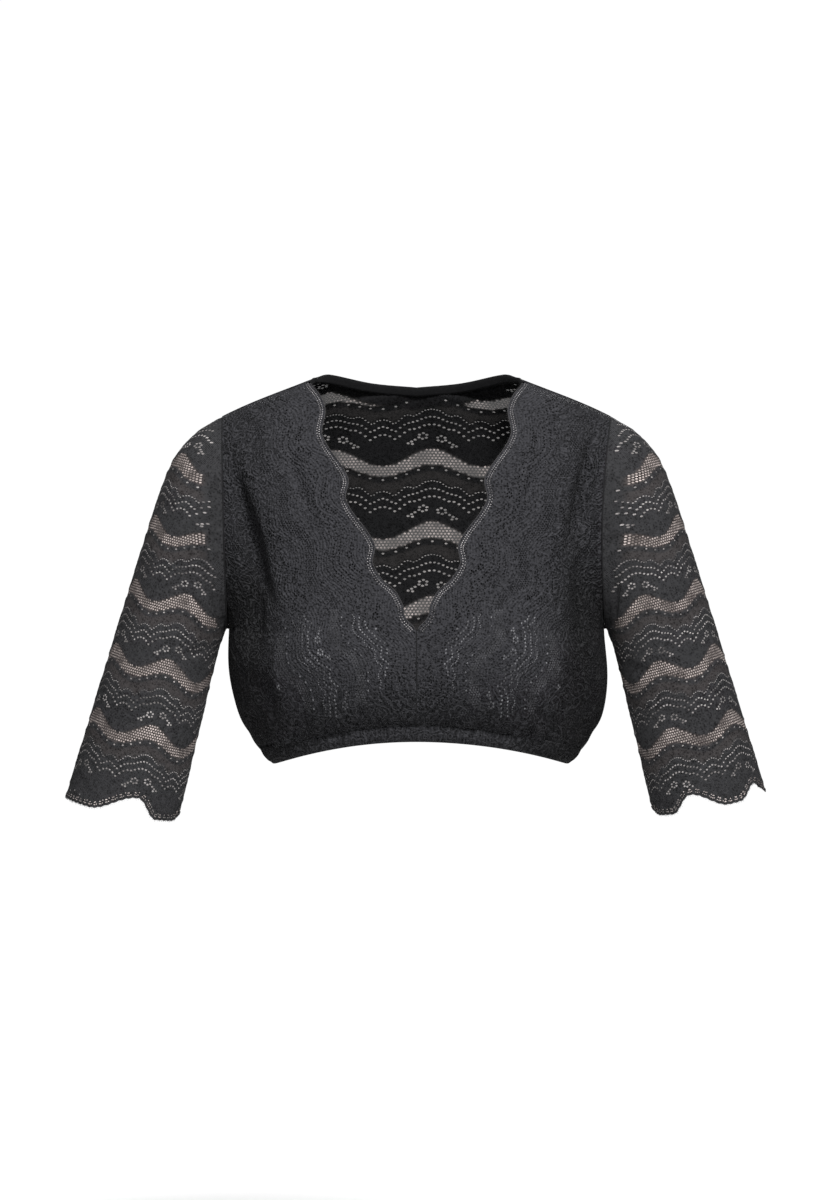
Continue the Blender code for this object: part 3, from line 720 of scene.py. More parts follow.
def lay_out(name, panel, outline_params, place, spacing, borders=(), kind_of=None, dense_near=None,
            dense_below=9.0, painted_shade_of=None):
    """A sheet of lace: triangulated flat round its eyelets and net holes, then carried onto its panel.

    borders are scalloped stretches of the outline as flat points, the cloth on their left, each with its
    lines of small eyelets. kind_of turns a mark's flat place and kind into the kind of ground that fills it.
    A painted shade function, where given, sets the share of the material's second tone; where it is left out,
    that share is the lace's sheerness.
    dense_near is a line, as a tree of its points, and the width of denser lace beside it. dense_below is the
    place down the repeat below which the net gives way to dense lace.
    """
    outline = panel.flat(*outline_params.T)
    marks = repeat_marks_over(outline, place)
    if kind_of is not None:
        marks[:, 4] = kind_of(marks[:, :2], marks[:, 4])
    if dense_near is not None:
        tree, width = dense_near
        near = nearest(tree, marks[:, :2])[1]
        marks = marks[(near > width) | ((marks[:, 4] == 0) & (near > 0.5 * width))]
    low_net = (marks[:, 4] == 1) & (place(marks[:, :2])[:, 1] > dense_below)
    marks = marks[~low_net & inside(outline, marks[:, :2])]
    edge_tree = tree_of(outline)
    marks = marks[nearest(edge_tree, marks[:, :2])[1] > marks[:, 2:4].max(axis=1) + EDGE_CLEAR]
    if borders:
        border_tree = tree_of(np.concatenate([border for border, _ in borders]))
        marks = marks[nearest(border_tree, marks[:, :2])[1] > BORDER_CLEAR]
        small = np.array(border_marks(borders))
        small = small[inside(outline, small[:, :2])]
        small = small[nearest(edge_tree, small[:, :2])[1] > small[:, 2] + SMALL_CLEAR]
        marks = np.concatenate((marks, small))
    centres, sizes, kinds = marks[:, :2], marks[:, 2:4], marks[:, 4].astype(int)

    mark_tree = tree_of(centres)
    fill = fill_points(outline, spacing)
    fill = fill[nearest(edge_tree, fill)[1] >= spacing * 0.6]
    at, away = nearest(mark_tree, fill)
    fill = fill[away > sizes[at].max(axis=1) + spacing * 0.40]

    axes = place.axes
    spread = sizes[:, None] * (HEXAGON if np.linalg.det(axes) > 0 else HEXAGON[::-1])
    rims = centres[:, None] + (spread[..., :1] * axes[0] + spread[..., 1:] * axes[1])
    points = np.concatenate((outline, rims.reshape(-1, 2), fill))
    first = len(outline)
    loops = [list(range(first)), *(list(range(first + 6 * k, first + 6 * k + 6)) for k in range(len(marks)))]
    verts, _, faces, *_ = delaunay_2d_cdt([Vector(p) for p in points], [], loops, 1, 1e-7, True)
    verts, faces = np.array([(v.x, v.y) for v in verts]), np.array(faces)
    middles = verts[faces].mean(axis=1)
    within = inside(outline, middles)
    faces, middles = faces[within], middles[within]

    def from_marks(spots):
        """The nearest mark to each place, and how far away it is where its rim is at 1."""
        at = nearest(mark_tree, spots)[0]
        return at, np.linalg.norm((spots - centres[at]) @ axes.T / sizes[at], axis=1)

    at, away = from_marks(middles)
    slots = np.where(away < 0.8, kinds[at] + 1, 0)
    spot = place(verts)
    sheer, raised = tone(*spot.T)
    sheer = sheer * (1.0 - smooth(dense_below, dense_below + 0.02, spot[:, 1]))
    if dense_near is not None:
        sheer = sheer * smooth(width - 0.003, width + 0.003, nearest(tree, verts)[1])
    rim = from_marks(verts)[1] < 1.02
    relief = LACE_RELIEF * (raised - 0.5) + np.where(rim, RIM_RELIEF * (1.0 - sheer), 0.0)
    spots = panel.place(panel.params(verts), relief)

    mesh = bpy.data.meshes.new(name)
    if panel.outward < 0:
        faces = faces[:, ::-1]
    mesh.from_pydata(spots.tolist(), [], faces.tolist())
    mesh.polygons.foreach_set("material_index", slots.astype(np.int32))
    follow = stack(spot[:, 0], spot[:, 1] - wave(spot[:, 0])) * place.size
    mark_cloth(mesh, follow, sheer if painted_shade_of is None else painted_shade_of(spots))
    mesh.update()
    return mesh


def tube(name, line, radius, material, sides=6, closed=False):
    """A round cord along a line of points."""
    if closed:
        way = unit(np.roll(line, -1, axis=0) - np.roll(line, 1, axis=0))
    else:
        way = unit(np.gradient(line, axis=0))
    across = unit(np.cross(way, (0.13, 0.97, 0.21)))
    up = np.cross(across, way)
    turns = np.arange(sides) * math.tau / sides
    rings = [line + radius * (across * math.cos(t) + up * math.sin(t)) for t in turns]
    faces = grid_faces(len(line), sides, closed, True)
    if not closed:
        last = (len(line) - 1) * sides
        faces += [tuple(range(sides))[::-1], tuple(range(last, last + sides))]
    return piece_of(name, np.stack(rings, axis=1).reshape(-1, 3), faces, material)


def edge_trim(name, panel, border):
    """The cord along a scalloped border and the small picot loops that stand on it."""
    points, _ = evenly(border, 0.0011)
    cord = tube(name + "_cord", panel.place(panel.params(points)), CORD_RADIUS, EDGE_THREAD, 5)
    points, left = evenly(border, 0.0021)
    points = points + rng.uniform(-0.0003, 0.0003, (len(points), 1)) * left[:, ::-1]
    at = panel.params(points)
    edge, normal = panel.place(at), panel.normals(at)
    out = unit(edge - panel.place(panel.params(points + left * 0.0015)))
    along = np.cross(normal, out)
    reach = rng.uniform(0.0010, 0.0020, (len(points), 1))
    lean = rng.uniform(-0.25, 0.25, (len(points), 1))
    verts, faces = [], []
    for share, width in ((0.0, -1.0), (0.75, -0.85), (1.0, 0.0), (0.75, 0.85), (0.0, 1.0)):
        middle = edge + out * reach * share + along * (CORD_RADIUS * width + lean * reach * share)
        for c, n in ((1.0, 0.0), (-0.5, 0.87), (-0.5, -0.87)):
            verts.append(middle + PICOT_RADIUS * (out * c + normal * n))
    for k in range(len(points)):
        faces += grid_faces(5, 3, closed_columns=True, start=15 * k)
    verts = np.stack(verts, axis=1).reshape(-1, 3)
    return [cord, piece_of(name + "_picots", verts, faces, EDGE_THREAD)]


# Materials

PIT_PITCH, SHELL_PITCH = 0.0023, 0.0150
SHELL_WANDER = 0.012


class Nodes:
    """Adds nodes to a tree. An input's value is a number, a colour or another node's output."""

    def __init__(self, tree):
        self.nodes, self.links = tree.nodes, tree.links

    def fill(self, node, inputs):
        for socket, value in inputs.items():
            if isinstance(value, bpy.types.NodeSocket):
                self.links.new(value, node.inputs[socket])
            else:
                node.inputs[socket].default_value = value

    def add(self, kind, inputs, **settings):
        node = self.nodes.new("ShaderNode" + kind)
        for setting, value in settings.items():
            setattr(node, setting, value)
        self.fill(node, inputs)
        return node.outputs

    def place(self):
        return self.add("TexCoord", {})["Object"]

    def math(self, operation, *values):
        return self.add("Math", dict(enumerate(values)), operation=operation)[0]

    def range(self, value, low, high, to_low, to_high):
        numbers = {"From Min": low, "From Max": high, "To Min": to_low, "To Max": to_high}
        return self.add("MapRange", {**numbers, "Value": value})[0]

    def noise(self, vector, scale, detail, output="Fac"):
        return self.add("TexNoise", {"Scale": scale, "Detail": detail, "Vector": vector})[output]

    def scaled(self, colour, factor):
        return self.add("VectorMath", {0: colour, "Scale": factor}, operation="SCALE")[0]

    def bump(self, height, strength, distance):
        inputs = {"Strength": strength, "Distance": distance, "Height": height}
        return self.add("Bump", inputs)["Normal"]


def shader_of(name, colour, roughness, sheen=0.0):
    material = bpy.data.materials.new(name)
    material.use_nodes = True
    build = Nodes(material.node_tree)
    shader = build.nodes["Principled BSDF"]
    build.fill(shader, {
        "Base Color": (*colour, 1.0), "Roughness": roughness, "Sheen Weight": sheen, "Sheen Roughness": 0.5,
        "Specular IOR Level": 0.03,
    })
    return material, build, shader


def lace_material(name, dense, second, second_alpha, rib_pitch, rib, pits, cords=0.0):
    """Lace of two tones, with ribs that follow the wave and small worked pits.

    The second tone can let light through; on the fronts and the casing it is a darker painted shade.
    """
    material, build, shader = shader_of(name, dense, 0.85, 0.01)
    amount = build.add("Attribute", {}, attribute_name="tint")["Fac"]
    follow = build.add("UVMap", {}, uv_map="lace")["UV"]
    down = build.add("SeparateXYZ", {0: follow})["Y"]
    place = build.place()
    sway = build.range(build.noise(place, 60.0, 2.0), 0.3, 0.7, -1.6, 1.6)
    ribs = build.math("SINE", build.math("MULTIPLY_ADD", down, math.tau / rib_pitch, sway))
    ribs = build.math("POWER", build.math("ABSOLUTE", ribs), 2.5)
    patch = build.range(build.noise(place, 26.0, 1.0), 0.40, 0.60, 0.25, 1.0)
    ribs = build.math("MULTIPLY", ribs, patch)
    cells = build.add("TexVoronoi", {"Scale": 1.0 / PIT_PITCH, "Vector": place})["Distance"]
    pit = build.range(cells, 0.12, 0.55, 0.0, 1.0)
    motif = build.range(build.noise(place, 210.0, 2.0), 0.35, 0.65, -0.35, 0.35)
    fine = build.math("ADD", build.noise(place, 900.0, 2.0), motif)
    height = build.math("MULTIPLY", pit, pits)
    height = build.math("MULTIPLY_ADD", ribs, rib, height)
    height = build.math("MULTIPLY_ADD", fine, 0.6, height)
    if cords > 0.0:
        # Fine cords in nested shells, raised and painted lighter as a painted highlight, strongest where the
        # second tone paints shade
        wander = build.noise(place, 110.0, 2.0, "Color")
        moved = {0: wander, 1: (SHELL_WANDER,) * 3, 2: place}
        moved = build.add("VectorMath", moved, operation="MULTIPLY_ADD")[0]
        shells = build.add("TexVoronoi", {"Scale": 1.0 / SHELL_PITCH, "Vector": moved})["Distance"]
        line = build.math("SINE", build.math("MULTIPLY_ADD", shells, math.pi / 0.23, sway))
        line = build.math("POWER", build.math("ABSOLUTE", line), 6.0)
        line = build.math("MULTIPLY", line, build.math("MULTIPLY_ADD", amount, 0.85, 0.15))
        height = build.math("MULTIPLY_ADD", line, cords, height)
    mix = {0: amount, 6: (*dense, 1.0), 7: (*second, 1.0)}
    mix = build.add("Mix", mix, data_type="RGBA")[2]
    # The relief is painted into the colour: higher lace lighter and lower lace darker, a painted shade and
    # highlight; the cords add a painted highlight
    shade = build.range(height, 0.2, 0.3 + rib * 0.8 + pits * 0.9, 0.26, 2.05)
    if cords > 0.0:
        shade = build.math("MULTIPLY_ADD", line, cords, shade)
    build.fill(shader, {"Base Color": build.scaled(mix, shade), "Normal": build.bump(height, 0.8, 0.0005)})
    if second_alpha < 1.0:
        lost = build.math("MULTIPLY", build.math("POWER", amount, 3.0), 1.0 - second_alpha)
        build.fill(shader, {"Alpha": build.math("SUBTRACT", 1.0, lost)})
    return material


def ground_material(name, colour, alpha=1.0):
    """The fine ground that fills an eyelet or a cell of the net, clearer in some places than in others."""
    material, build, shader = shader_of(name, colour, 0.95)
    place = build.place()
    fine = build.range(build.noise(place, 500.0, 2.0), 0.3, 0.7, 0.60, 1.40)
    broad = build.range(build.noise(place, 55.0, 2.0), 0.34, 0.66, 0.40, 1.50)
    tinted = build.scaled(colour, build.math("MULTIPLY", fine, broad))
    build.fill(shader, {"Base Color": tinted, "Alpha": alpha})
    return material


def cloth_material(name, colour, weave, bump_depth):
    """Plain fine cloth with a small cross weave and uneven tone."""
    material, build, shader = shader_of(name, colour, 0.85, 0.01)
    place = build.place()
    split = build.add("SeparateXYZ", {0: place})
    round_body = build.math("ADD", split["X"], split["Y"])
    warp = build.math("SINE", build.math("MULTIPLY", round_body, math.tau / weave))
    weft = build.math("SINE", build.math("MULTIPLY", split["Z"], math.tau / weave))
    height = build.math("MULTIPLY", warp, weft)
    height = build.math("MULTIPLY_ADD", build.noise(place, 300.0, 3.0), 2.0, height)
    tinted = build.scaled(colour, build.range(height, 0.0, 2.0, 0.6, 1.4))
    build.fill(shader, {"Base Color": tinted, "Normal": build.bump(height, 0.5, bump_depth)})
    return material


SLEEVE_LACE = lace_material(
    "sleeve_lace", (0.0140, 0.0140, 0.0148), (0.028, 0.024, 0.023), 0.94, 0.0021, 0.8, 0.7)
SLEEVE_EYELET = ground_material("sleeve_eyelet", (0.160, 0.150, 0.147), 0.92)
SLEEVE_NET = ground_material("sleeve_net", (0.245, 0.212, 0.200), 0.92)
# Painted shade: the back is the sleeves' lace in darker colours, shaded for the inside of the back seen
# through the neckline
BACK_LACE_PAINTED_SHADE = lace_material(
    "back_lace_painted_shade", (0.0045, 0.0045, 0.0048), (0.013, 0.0115, 0.011), 0.93, 0.0023, 0.8, 0.7)
BACK_EYELET_PAINTED_SHADE = ground_material("back_eyelet_painted_shade", (0.095, 0.088, 0.085), 0.90)
BACK_NET_PAINTED_SHADE = ground_material("back_net_painted_shade", (0.150, 0.128, 0.121), 0.93)
# The front lace's darker second tone is painted shade, laid on the sides and above the hem
FRONT_LACE = lace_material(
    "front_lace", (0.0117, 0.0117, 0.0130), (0.0034, 0.0034, 0.0036), 1.0, 0.0060, 1.5, 2.2, 2.8)
FRONT_GROUND = ground_material("front_ground", (0.0035, 0.0035, 0.0038))
FRONT_NET = ground_material("front_net", (0.0075, 0.0075, 0.0082))
# Painted highlight: the openings over the bust are lighter where the bust is lit
BUST_GROUND_PAINTED_HIGHLIGHT = ground_material("bust_ground_painted_highlight", (0.075, 0.075, 0.079))
BUST_NET_PAINTED_HIGHLIGHT = ground_material("bust_net_painted_highlight", (0.032, 0.032, 0.034))
BORDER_GROUND = ground_material("border_ground", (0.165, 0.158, 0.158))
LINING_CLOTH = cloth_material("black_lining", (0.0080, 0.0080, 0.0088), 0.0008, 0.00010)
BINDING_CLOTH = cloth_material("black_binding", (0.0060, 0.0060, 0.0064), 0.0008, 0.00012)
THREAD = cloth_material("black_thread", (0.0105, 0.0105, 0.0112), 0.0006, 0.00010)
EDGE_THREAD = cloth_material("edge_thread", (0.034, 0.033, 0.034), 0.0006, 0.00010)


# Sleeves

def down_sleeve(points, side):
    return points @ np.array((math.sin(SLEEVE_TILT) * side, 0.0, -math.cos(SLEEVE_TILT)))


def make_sleeve(name, side, crest_angle, twist):
    """A sleeve. Its lace has a crest at this angle by the cuff and turns this much for each metre up."""
    def surface(share, angle):
        return sleeve_point(share, angle, side)

    cuff_level = down_sleeve(sleeve_point(np.array([1.0]), np.array([0.0]), side), side)[0]

    def flat(share, angle):
        down = down_sleeve(sleeve_point(share, angle, side), side)
        return np.stack((SLEEVE_RADIUS * angle + twist * (cuff_level - down), down), axis=1)

    def creases(params, spots):
        share, angle = params.T
        total = np.zeros(len(share))
        for fold_side, u0, a0, u1, a1, depth, width in SLEEVE_CREASES:
            if fold_side != side:
                continue
            start, end = math.radians(a0) * SLEEVE_RADIUS, math.radians(a1) * SLEEVE_RADIUS
            ends = (start, u0 * SLEEVE_LENGTH, end, u1 * SLEEVE_LENGTH)
            for turn in (-math.tau, 0.0, math.tau):
                around = SLEEVE_RADIUS * (angle + turn)
                total += crease_line(around, share * SLEEVE_LENGTH, *ends, depth, width)
        return total * smooth(0.0, 0.05, share)

    seam = -math.pi / 2
    angles = np.linspace(seam, seam + math.tau, 241)
    turns = np.linspace(seam, seam + math.tau, 421)
    ripple = CUFF_RIPPLE * (1.0 - np.abs(np.sin(turns * SLEEVE_RADIUS * math.pi / CUFF_RIPPLE_PITCH)))
    ends = 1.0 - (cuff_cut(turns, side) + ripple) / SLEEVE_LENGTH
    lengths = np.linspace(0.0, 1.0, 130)
    cuff = stack(ends, turns)[::-1]
    outline = joined(stack(0.0, angles), stack(lengths * ends[-1], angles[-1]), cuff,
                     stack(lengths[::-1] * ends[0], angles[0]))
    shares = np.concatenate((np.linspace(0.0, 0.24, 40), np.linspace(0.25, 1.0, 60)))
    panel = Panel(surface, flat, shares, angles, side, creases)
    wide, tall = math.tau * SLEEVE_RADIUS / 5.0, 0.0645
    crest = SLEEVE_RADIUS * math.radians(crest_angle)
    place = Place(wide, tall, (crest - wide / 2, cuff_level - 1.08 * tall), (1.0, 0.0), (0.0, 1.0))
    border = flat(*cuff.T)
    armhole_tree = tree_of(flat(np.zeros(len(angles)), angles))
    mesh = lay_out(name, panel, outline, place, 0.0019, [(border, CUFF_EYELETS)], dense_below=NET_END,
                   dense_near=(armhole_tree, ARMHOLE_DENSE))
    # Along the sleeve's seam the two edges of the cloth meet
    merged = bmesh.new()
    merged.from_mesh(mesh)
    bmesh.ops.remove_doubles(merged, verts=merged.verts, dist=0.00002)
    merged.to_mesh(mesh)
    merged.free()
    body = link(name, mesh, SLEEVE_LACE, SLEEVE_EYELET, SLEEVE_NET, SLEEVE_NET)
    return body, edge_trim(name + "_edge", panel, border), abs(flat_area(flat(*outline.T)))


def flat_area(outline):
    x, y = outline.T
    return 0.5 * float(np.sum(x * np.roll(y, -1) - y * np.roll(x, -1)))


# Bodice

def arc_lengths(share, back, side, count=60):
    """Along each row from the inner rail: the distance at even steps of across."""
    controls = row_curve(share, back, side)
    steps = [on_curve(controls, np.full(len(share), k / count)) for k in range(count + 1)]
    lengths = [np.zeros(len(share))]
    for a, b in zip(steps, steps[1:]):
        lengths.append(lengths[-1] + np.linalg.norm(b - a, axis=1))
    return np.stack(lengths, axis=1)


SHARES = np.linspace(0.0, 1.0, 301)
ROW_LENGTHS = {key: arc_lengths(SHARES, *key) for key in ((False, 1), (False, -1), (True, 1), (True, -1))}


def row_distance(share, across, back, side):
    """How far along its row a point lies from the inner rail."""
    table = ROW_LENGTHS[(back, side)]
    r, c = share * (len(SHARES) - 1), np.clip(across, 0, 1) * (table.shape[1] - 1)
    i, j = np.clip(r.astype(int), 0, len(SHARES) - 2), np.clip(c.astype(int), 0, table.shape[1] - 2)
    f, g = r - i, c - j
    return (
        table[i, j] * (1 - f) * (1 - g) + table[i + 1, j] * f * (1 - g)
        + table[i, j + 1] * (1 - f) * g + table[i + 1, j + 1] * f * g
    )


def across_at(share, distance, back, side):
    """The share across a row at this distance from the inner rail."""
    low, high = np.zeros_like(distance), np.ones_like(distance)
    for _ in range(24):
        middle = (low + high) / 2
        short = row_distance(share, middle, back, side) < distance
        low, high = np.where(short, middle, low), np.where(short, high, middle)
    return (low + high) / 2


def gather_table(count, reach):
    """Small gathers above the casing: place along the hem, height, depth, half width and slant."""
    at = np.linspace(-reach, reach, count) + rng.uniform(-0.35, 0.35, count) * (2 * reach / count)
    return stack(at, rng.uniform(0.010, 0.036, count), rng.uniform(0.0005, 0.0015, count),
                 rng.uniform(0.0016, 0.0034, count), rng.uniform(-0.30, 0.30, count))


def gather_depth(s, height, gathers):
    total = np.zeros_like(s)
    for at, reach, depth, width, slant in gathers:
        across = (s - at - slant * height) / width
        total += depth * np.exp(-(across**2)) * (1.0 - smooth(0.35 * reach, reach, height))
    return total


FRONT_GATHERS = {1: gather_table(40, 0.22), -1: gather_table(40, 0.22)}
BACK_GATHERS = gather_table(64, 0.22)
HEM_HEIGHTS = ((0.0, 0.05, 0.12, 0.20, 0.32), (0.0, 0.0125, 0.032, 0.068, 0.112))

# The V edge on the flat cloth: its slope, how far its line passes from the origin, its top and its height
V_SLOPE = math.radians(22.4)
V_LINE = 0.0868
V_TOP = np.array((0.1010, 0.0380))
V_HEIGHT = 0.2455


def pouch(share, x):
    """How far the cloth stands out over the casing towards the side seams."""
    return 0.0065 * smooth(0.080, 0.146, np.abs(x)) * (1.0 - smooth(0.0, 0.075, share))


def front_creases(params, spots, side):
    share, across = params.T
    x, z = spots[:, 0] * side, spots[:, 2]
    total = np.zeros(len(share))
    for creases, beside in ((FRONT_CREASES, 0.40), (FRONT_HOLLOWS, 0.0)):
        for fold_side, *crease in creases:
            if fold_side == side:
                total += crease_line(x, z, *crease, beside)
    out = row_distance(share, across, False, side)
    total += gather_depth(out, np.interp(share, *HEM_HEIGHTS), FRONT_GATHERS[side])
    total *= (1.0 - smooth(0.95, 1.0, across)) * (1.0 - smooth(0.97, 1.0, share)) * smooth(0.0, 0.02, across)
    return total - pouch(share, x)


def make_front(name, side):
    def surface(share, across):
        return panel_point(share, across, False, side)

    def flat(share, across):
        p = panel_point(share, across, False, side)
        out = inner_rail(share, False)[:, 0] + row_distance(share, across, False, side)
        return stack(out, p[:, 2] + 0.2 * (p[:, 1] + 0.1))

    shares = np.linspace(HEM_END, SHOULDER_END, 420)
    whole = row_distance(shares, np.ones_like(shares), False, side)
    inner = across_at(shares, SEAM_GAP / 2 + neck_cut(shares), False, side)
    outer = across_at(shares, whole - SEAM_GAP / 2, False, side)
    steps = np.linspace(0.0, 1.0, 130)
    edge = stack(shares, inner)[::-1]
    outline = joined(stack(shares[0], inner[0] + (outer[0] - inner[0]) * steps), stack(shares, outer)[::3],
                     stack(shares[-1], outer[-1] + (inner[-1] - outer[-1]) * steps), edge)
    panel = Panel(surface, flat, np.linspace(0, 1, 90), np.linspace(0, 1, 50), -side,
                  lambda params, spots: front_creases(params, spots, side))
    wide, tall = 0.0655, 0.0600
    cos, sin = math.cos(V_SLOPE), math.sin(V_SLOPE)
    up_edge, to_edge = np.array((sin, cos)), np.array((-cos, sin))
    # Across the repeat runs up the V edge, and down it runs towards the edge
    origin = np.array((V_LINE * cos, -V_LINE * sin)) + np.array((cos, -sin)) * 1.06 * tall
    first_point = V_HEIGHT / cos * (NECK_FIRST_POINT_SHARE + 0.01)
    along = float((V_TOP - origin) @ up_edge) - first_point - NECK_NOTCH_AT * wide
    place = Place(wide, tall, origin + up_edge * (along - wide * 0.5), up_edge, to_edge)
    border = flat(*edge[edge[:, 0] > ARMPIT_SHARE + 0.004].T)

    def kind_of(points, kinds):
        """Over the bust, where the lace is stretched, its openings are clearer, and their grounds are painted
        lighter as a painted highlight where the bust is lit.
        """
        bust = ((points[:, 0] - 0.086) / 0.060) ** 2 + ((points[:, 1] + 0.258) / 0.050) ** 2
        return np.where(bust < 1.0, np.where(kinds == 0, 2, 4), kinds)

    def painted_shade_of(spots):
        """Painted shade: the lace takes its darker second tone towards the sides and above the hem, where the
        front turns from the light.
        """
        beside = smooth(0.112, 0.158, np.abs(spots[:, 0]))
        beside = beside * (1.0 - 0.5 * smooth(-0.210, -0.120, spots[:, 2]))
        low = 0.72 * (1.0 - smooth(-0.315, -0.255, spots[:, 2]))
        return 1.0 - (1.0 - beside) * (1.0 - low)

    mesh = lay_out(name, panel, outline, place, 0.0018, [(border, V_EYELETS)], kind_of, dense_below=NET_END,
                   painted_shade_of=painted_shade_of)
    body = link(name, mesh, FRONT_LACE, FRONT_GROUND, FRONT_NET, BUST_GROUND_PAINTED_HIGHLIGHT, BORDER_GROUND, BUST_NET_PAINTED_HIGHLIGHT)
    return body, edge_trim(name + "_edge", panel, border), abs(flat_area(flat(*outline.T))), panel


def make_lining(name, side, panel):
    """The opaque lining under a front, close inside it all over."""
    rows, columns, edge = 96, 66, 0.0006
    params = []
    for share in np.linspace(0.004, 0.993, rows):
        one = np.array([share])
        whole = row_distance(one, np.ones(1), False, side)[0]
        in_v = float(smooth(ARMPIT_SHARE, ARMPIT_SHARE + 0.02, share))
        start = edge + (neck_cut(one)[0] + LINING_SHORTER) * in_v
        along = np.linspace(start, whole - edge, columns)
        params.append(stack(share, across_at(np.full(columns, share), along, False, side)))
    spots = panel.place(np.concatenate(params), -(LACE_WALL / 2 + LINING_GAP + LINING_WALL / 2) * 0.75)
    return piece_of(name, spots, grid_faces(rows, columns, turned=side > 0), LINING_CLOTH)


def back_creases(params, spots):
    share, across = params.T
    x, z = spots[:, 0], spots[:, 2]
    total = np.zeros(len(share))
    for side, x0, z0, x1, z1, depth, width in BACK_CREASES:
        total += crease_line(x * side, z, x0, z0, x1, z1, depth, width)
    out = np.sign(across) * row_distance(share, np.abs(across), True, 1)
    total += gather_depth(out, np.interp(share, *HEM_HEIGHTS), BACK_GATHERS)
    total *= (1.0 - smooth(0.93, 1.0, np.abs(across))) * (1.0 - smooth(0.84, 0.90, share))
    return total - pouch(share, x)


def make_back(name):
    def surface(share, across):
        spots = panel_point(share, np.abs(across), True, 1)
        mirrored = panel_point(share, np.abs(across), True, -1)
        return np.where((across < 0)[:, None], mirrored, spots)

    def flat(share, across):
        p = surface(share, across)
        out = inner_rail(share, True)[:, 0] + row_distance(share, np.abs(across), True, 1)
        over_shoulder = 0.55 * smooth(0.70, 0.95, share) * np.clip(0.080 - p[:, 1], 0.0, None)
        height = p[:, 2] + 0.2 * (0.1 - p[:, 1]) + over_shoulder
        return stack(np.where(across < 0, -out, out), height)

    shares = np.linspace(HEM_END, SHOULDER_END, 150)
    whole = row_distance(shares, np.ones_like(shares), True, 1)
    outer = across_at(shares, whole - SEAM_GAP / 2, True, 1)
    necks = np.linspace(BACK_NECK_SHARE, SHOULDER_END, 60)
    steps = np.linspace(0.0, 1.0, 110)
    hem = np.linspace(-outer[0], outer[0], 260)
    tiny = 1e-5
    neck = np.concatenate((stack(necks[::-1], tiny)[:-1], stack(necks, -tiny)))
    outline = joined(stack(shares[0], hem), stack(shares, outer),
                     stack(shares[-1], outer[-1] * (1 - steps) + tiny * steps), neck,
                     stack(shares[-1], -outer[-1] * steps - tiny * (1 - steps)),
                     stack(shares[::-1], -outer[::-1]))
    halves = np.concatenate((np.linspace(-1.0, -tiny, 45), np.linspace(tiny, 1.0, 45)))
    panel = Panel(surface, flat, np.linspace(0, 1, 110), halves, 1, back_creases)
    wide, tall = 0.1000, 0.0755
    place = Place(wide, tall, (0.016 - wide / 2, -0.0690), (1.0, 0.0), (0.0, -1.0))
    neck_tree = tree_of(flat(*neck.T))
    mesh = lay_out(name, panel, outline, place, 0.0023, dense_near=(neck_tree, NECK_DENSE))
    body = link(name, mesh, BACK_LACE_PAINTED_SHADE, BACK_EYELET_PAINTED_SHADE, BACK_NET_PAINTED_SHADE)
    return body, abs(flat_area(flat(*outline.T)))


SLEEVE_LEFT, SLEEVE_LEFT_EDGE, SLEEVE_LEFT_AREA = make_sleeve("lace_sleeve_left", 1, -32.0, -0.078)
SLEEVE_RIGHT, SLEEVE_RIGHT_EDGE, SLEEVE_RIGHT_AREA = make_sleeve("lace_sleeve_right", -1, -17.5, -0.028)
FRONT_LEFT, FRONT_LEFT_EDGE, FRONT_AREA, FRONT_LEFT_PANEL = make_front("lace_front_left", 1)
FRONT_RIGHT, FRONT_RIGHT_EDGE, _, FRONT_RIGHT_PANEL = make_front("lace_front_right", -1)
BACK, BACK_AREA = make_back("lace_back")
LINING_LEFT = make_lining("lining_left", 1, FRONT_LEFT_PANEL)
LINING_RIGHT = make_lining("lining_right", -1, FRONT_RIGHT_PANEL)


# Casing, binding and seams

def hem_ring(count):
    """The hem seam as a closed ring of even points, from the centre front towards the left."""
    steps = np.linspace(0.0, 1.0, 200)
    parts = []
    for back, side, turn in ((False, 1, 1), (True, 1, -1), (True, -1, 1), (False, -1, -1)):
        p = on_curve(row_curve(np.zeros(200), back, side), steps)
        p[:, 0] *= side
        parts.append(lean(p)[::turn])
    line = joined(*parts)
    ring = np.concatenate((line, line[:1]))
    along = lengths_along(ring)
    return points_at(ring, along, np.arange(count) * along[-1] / count), along[-1]


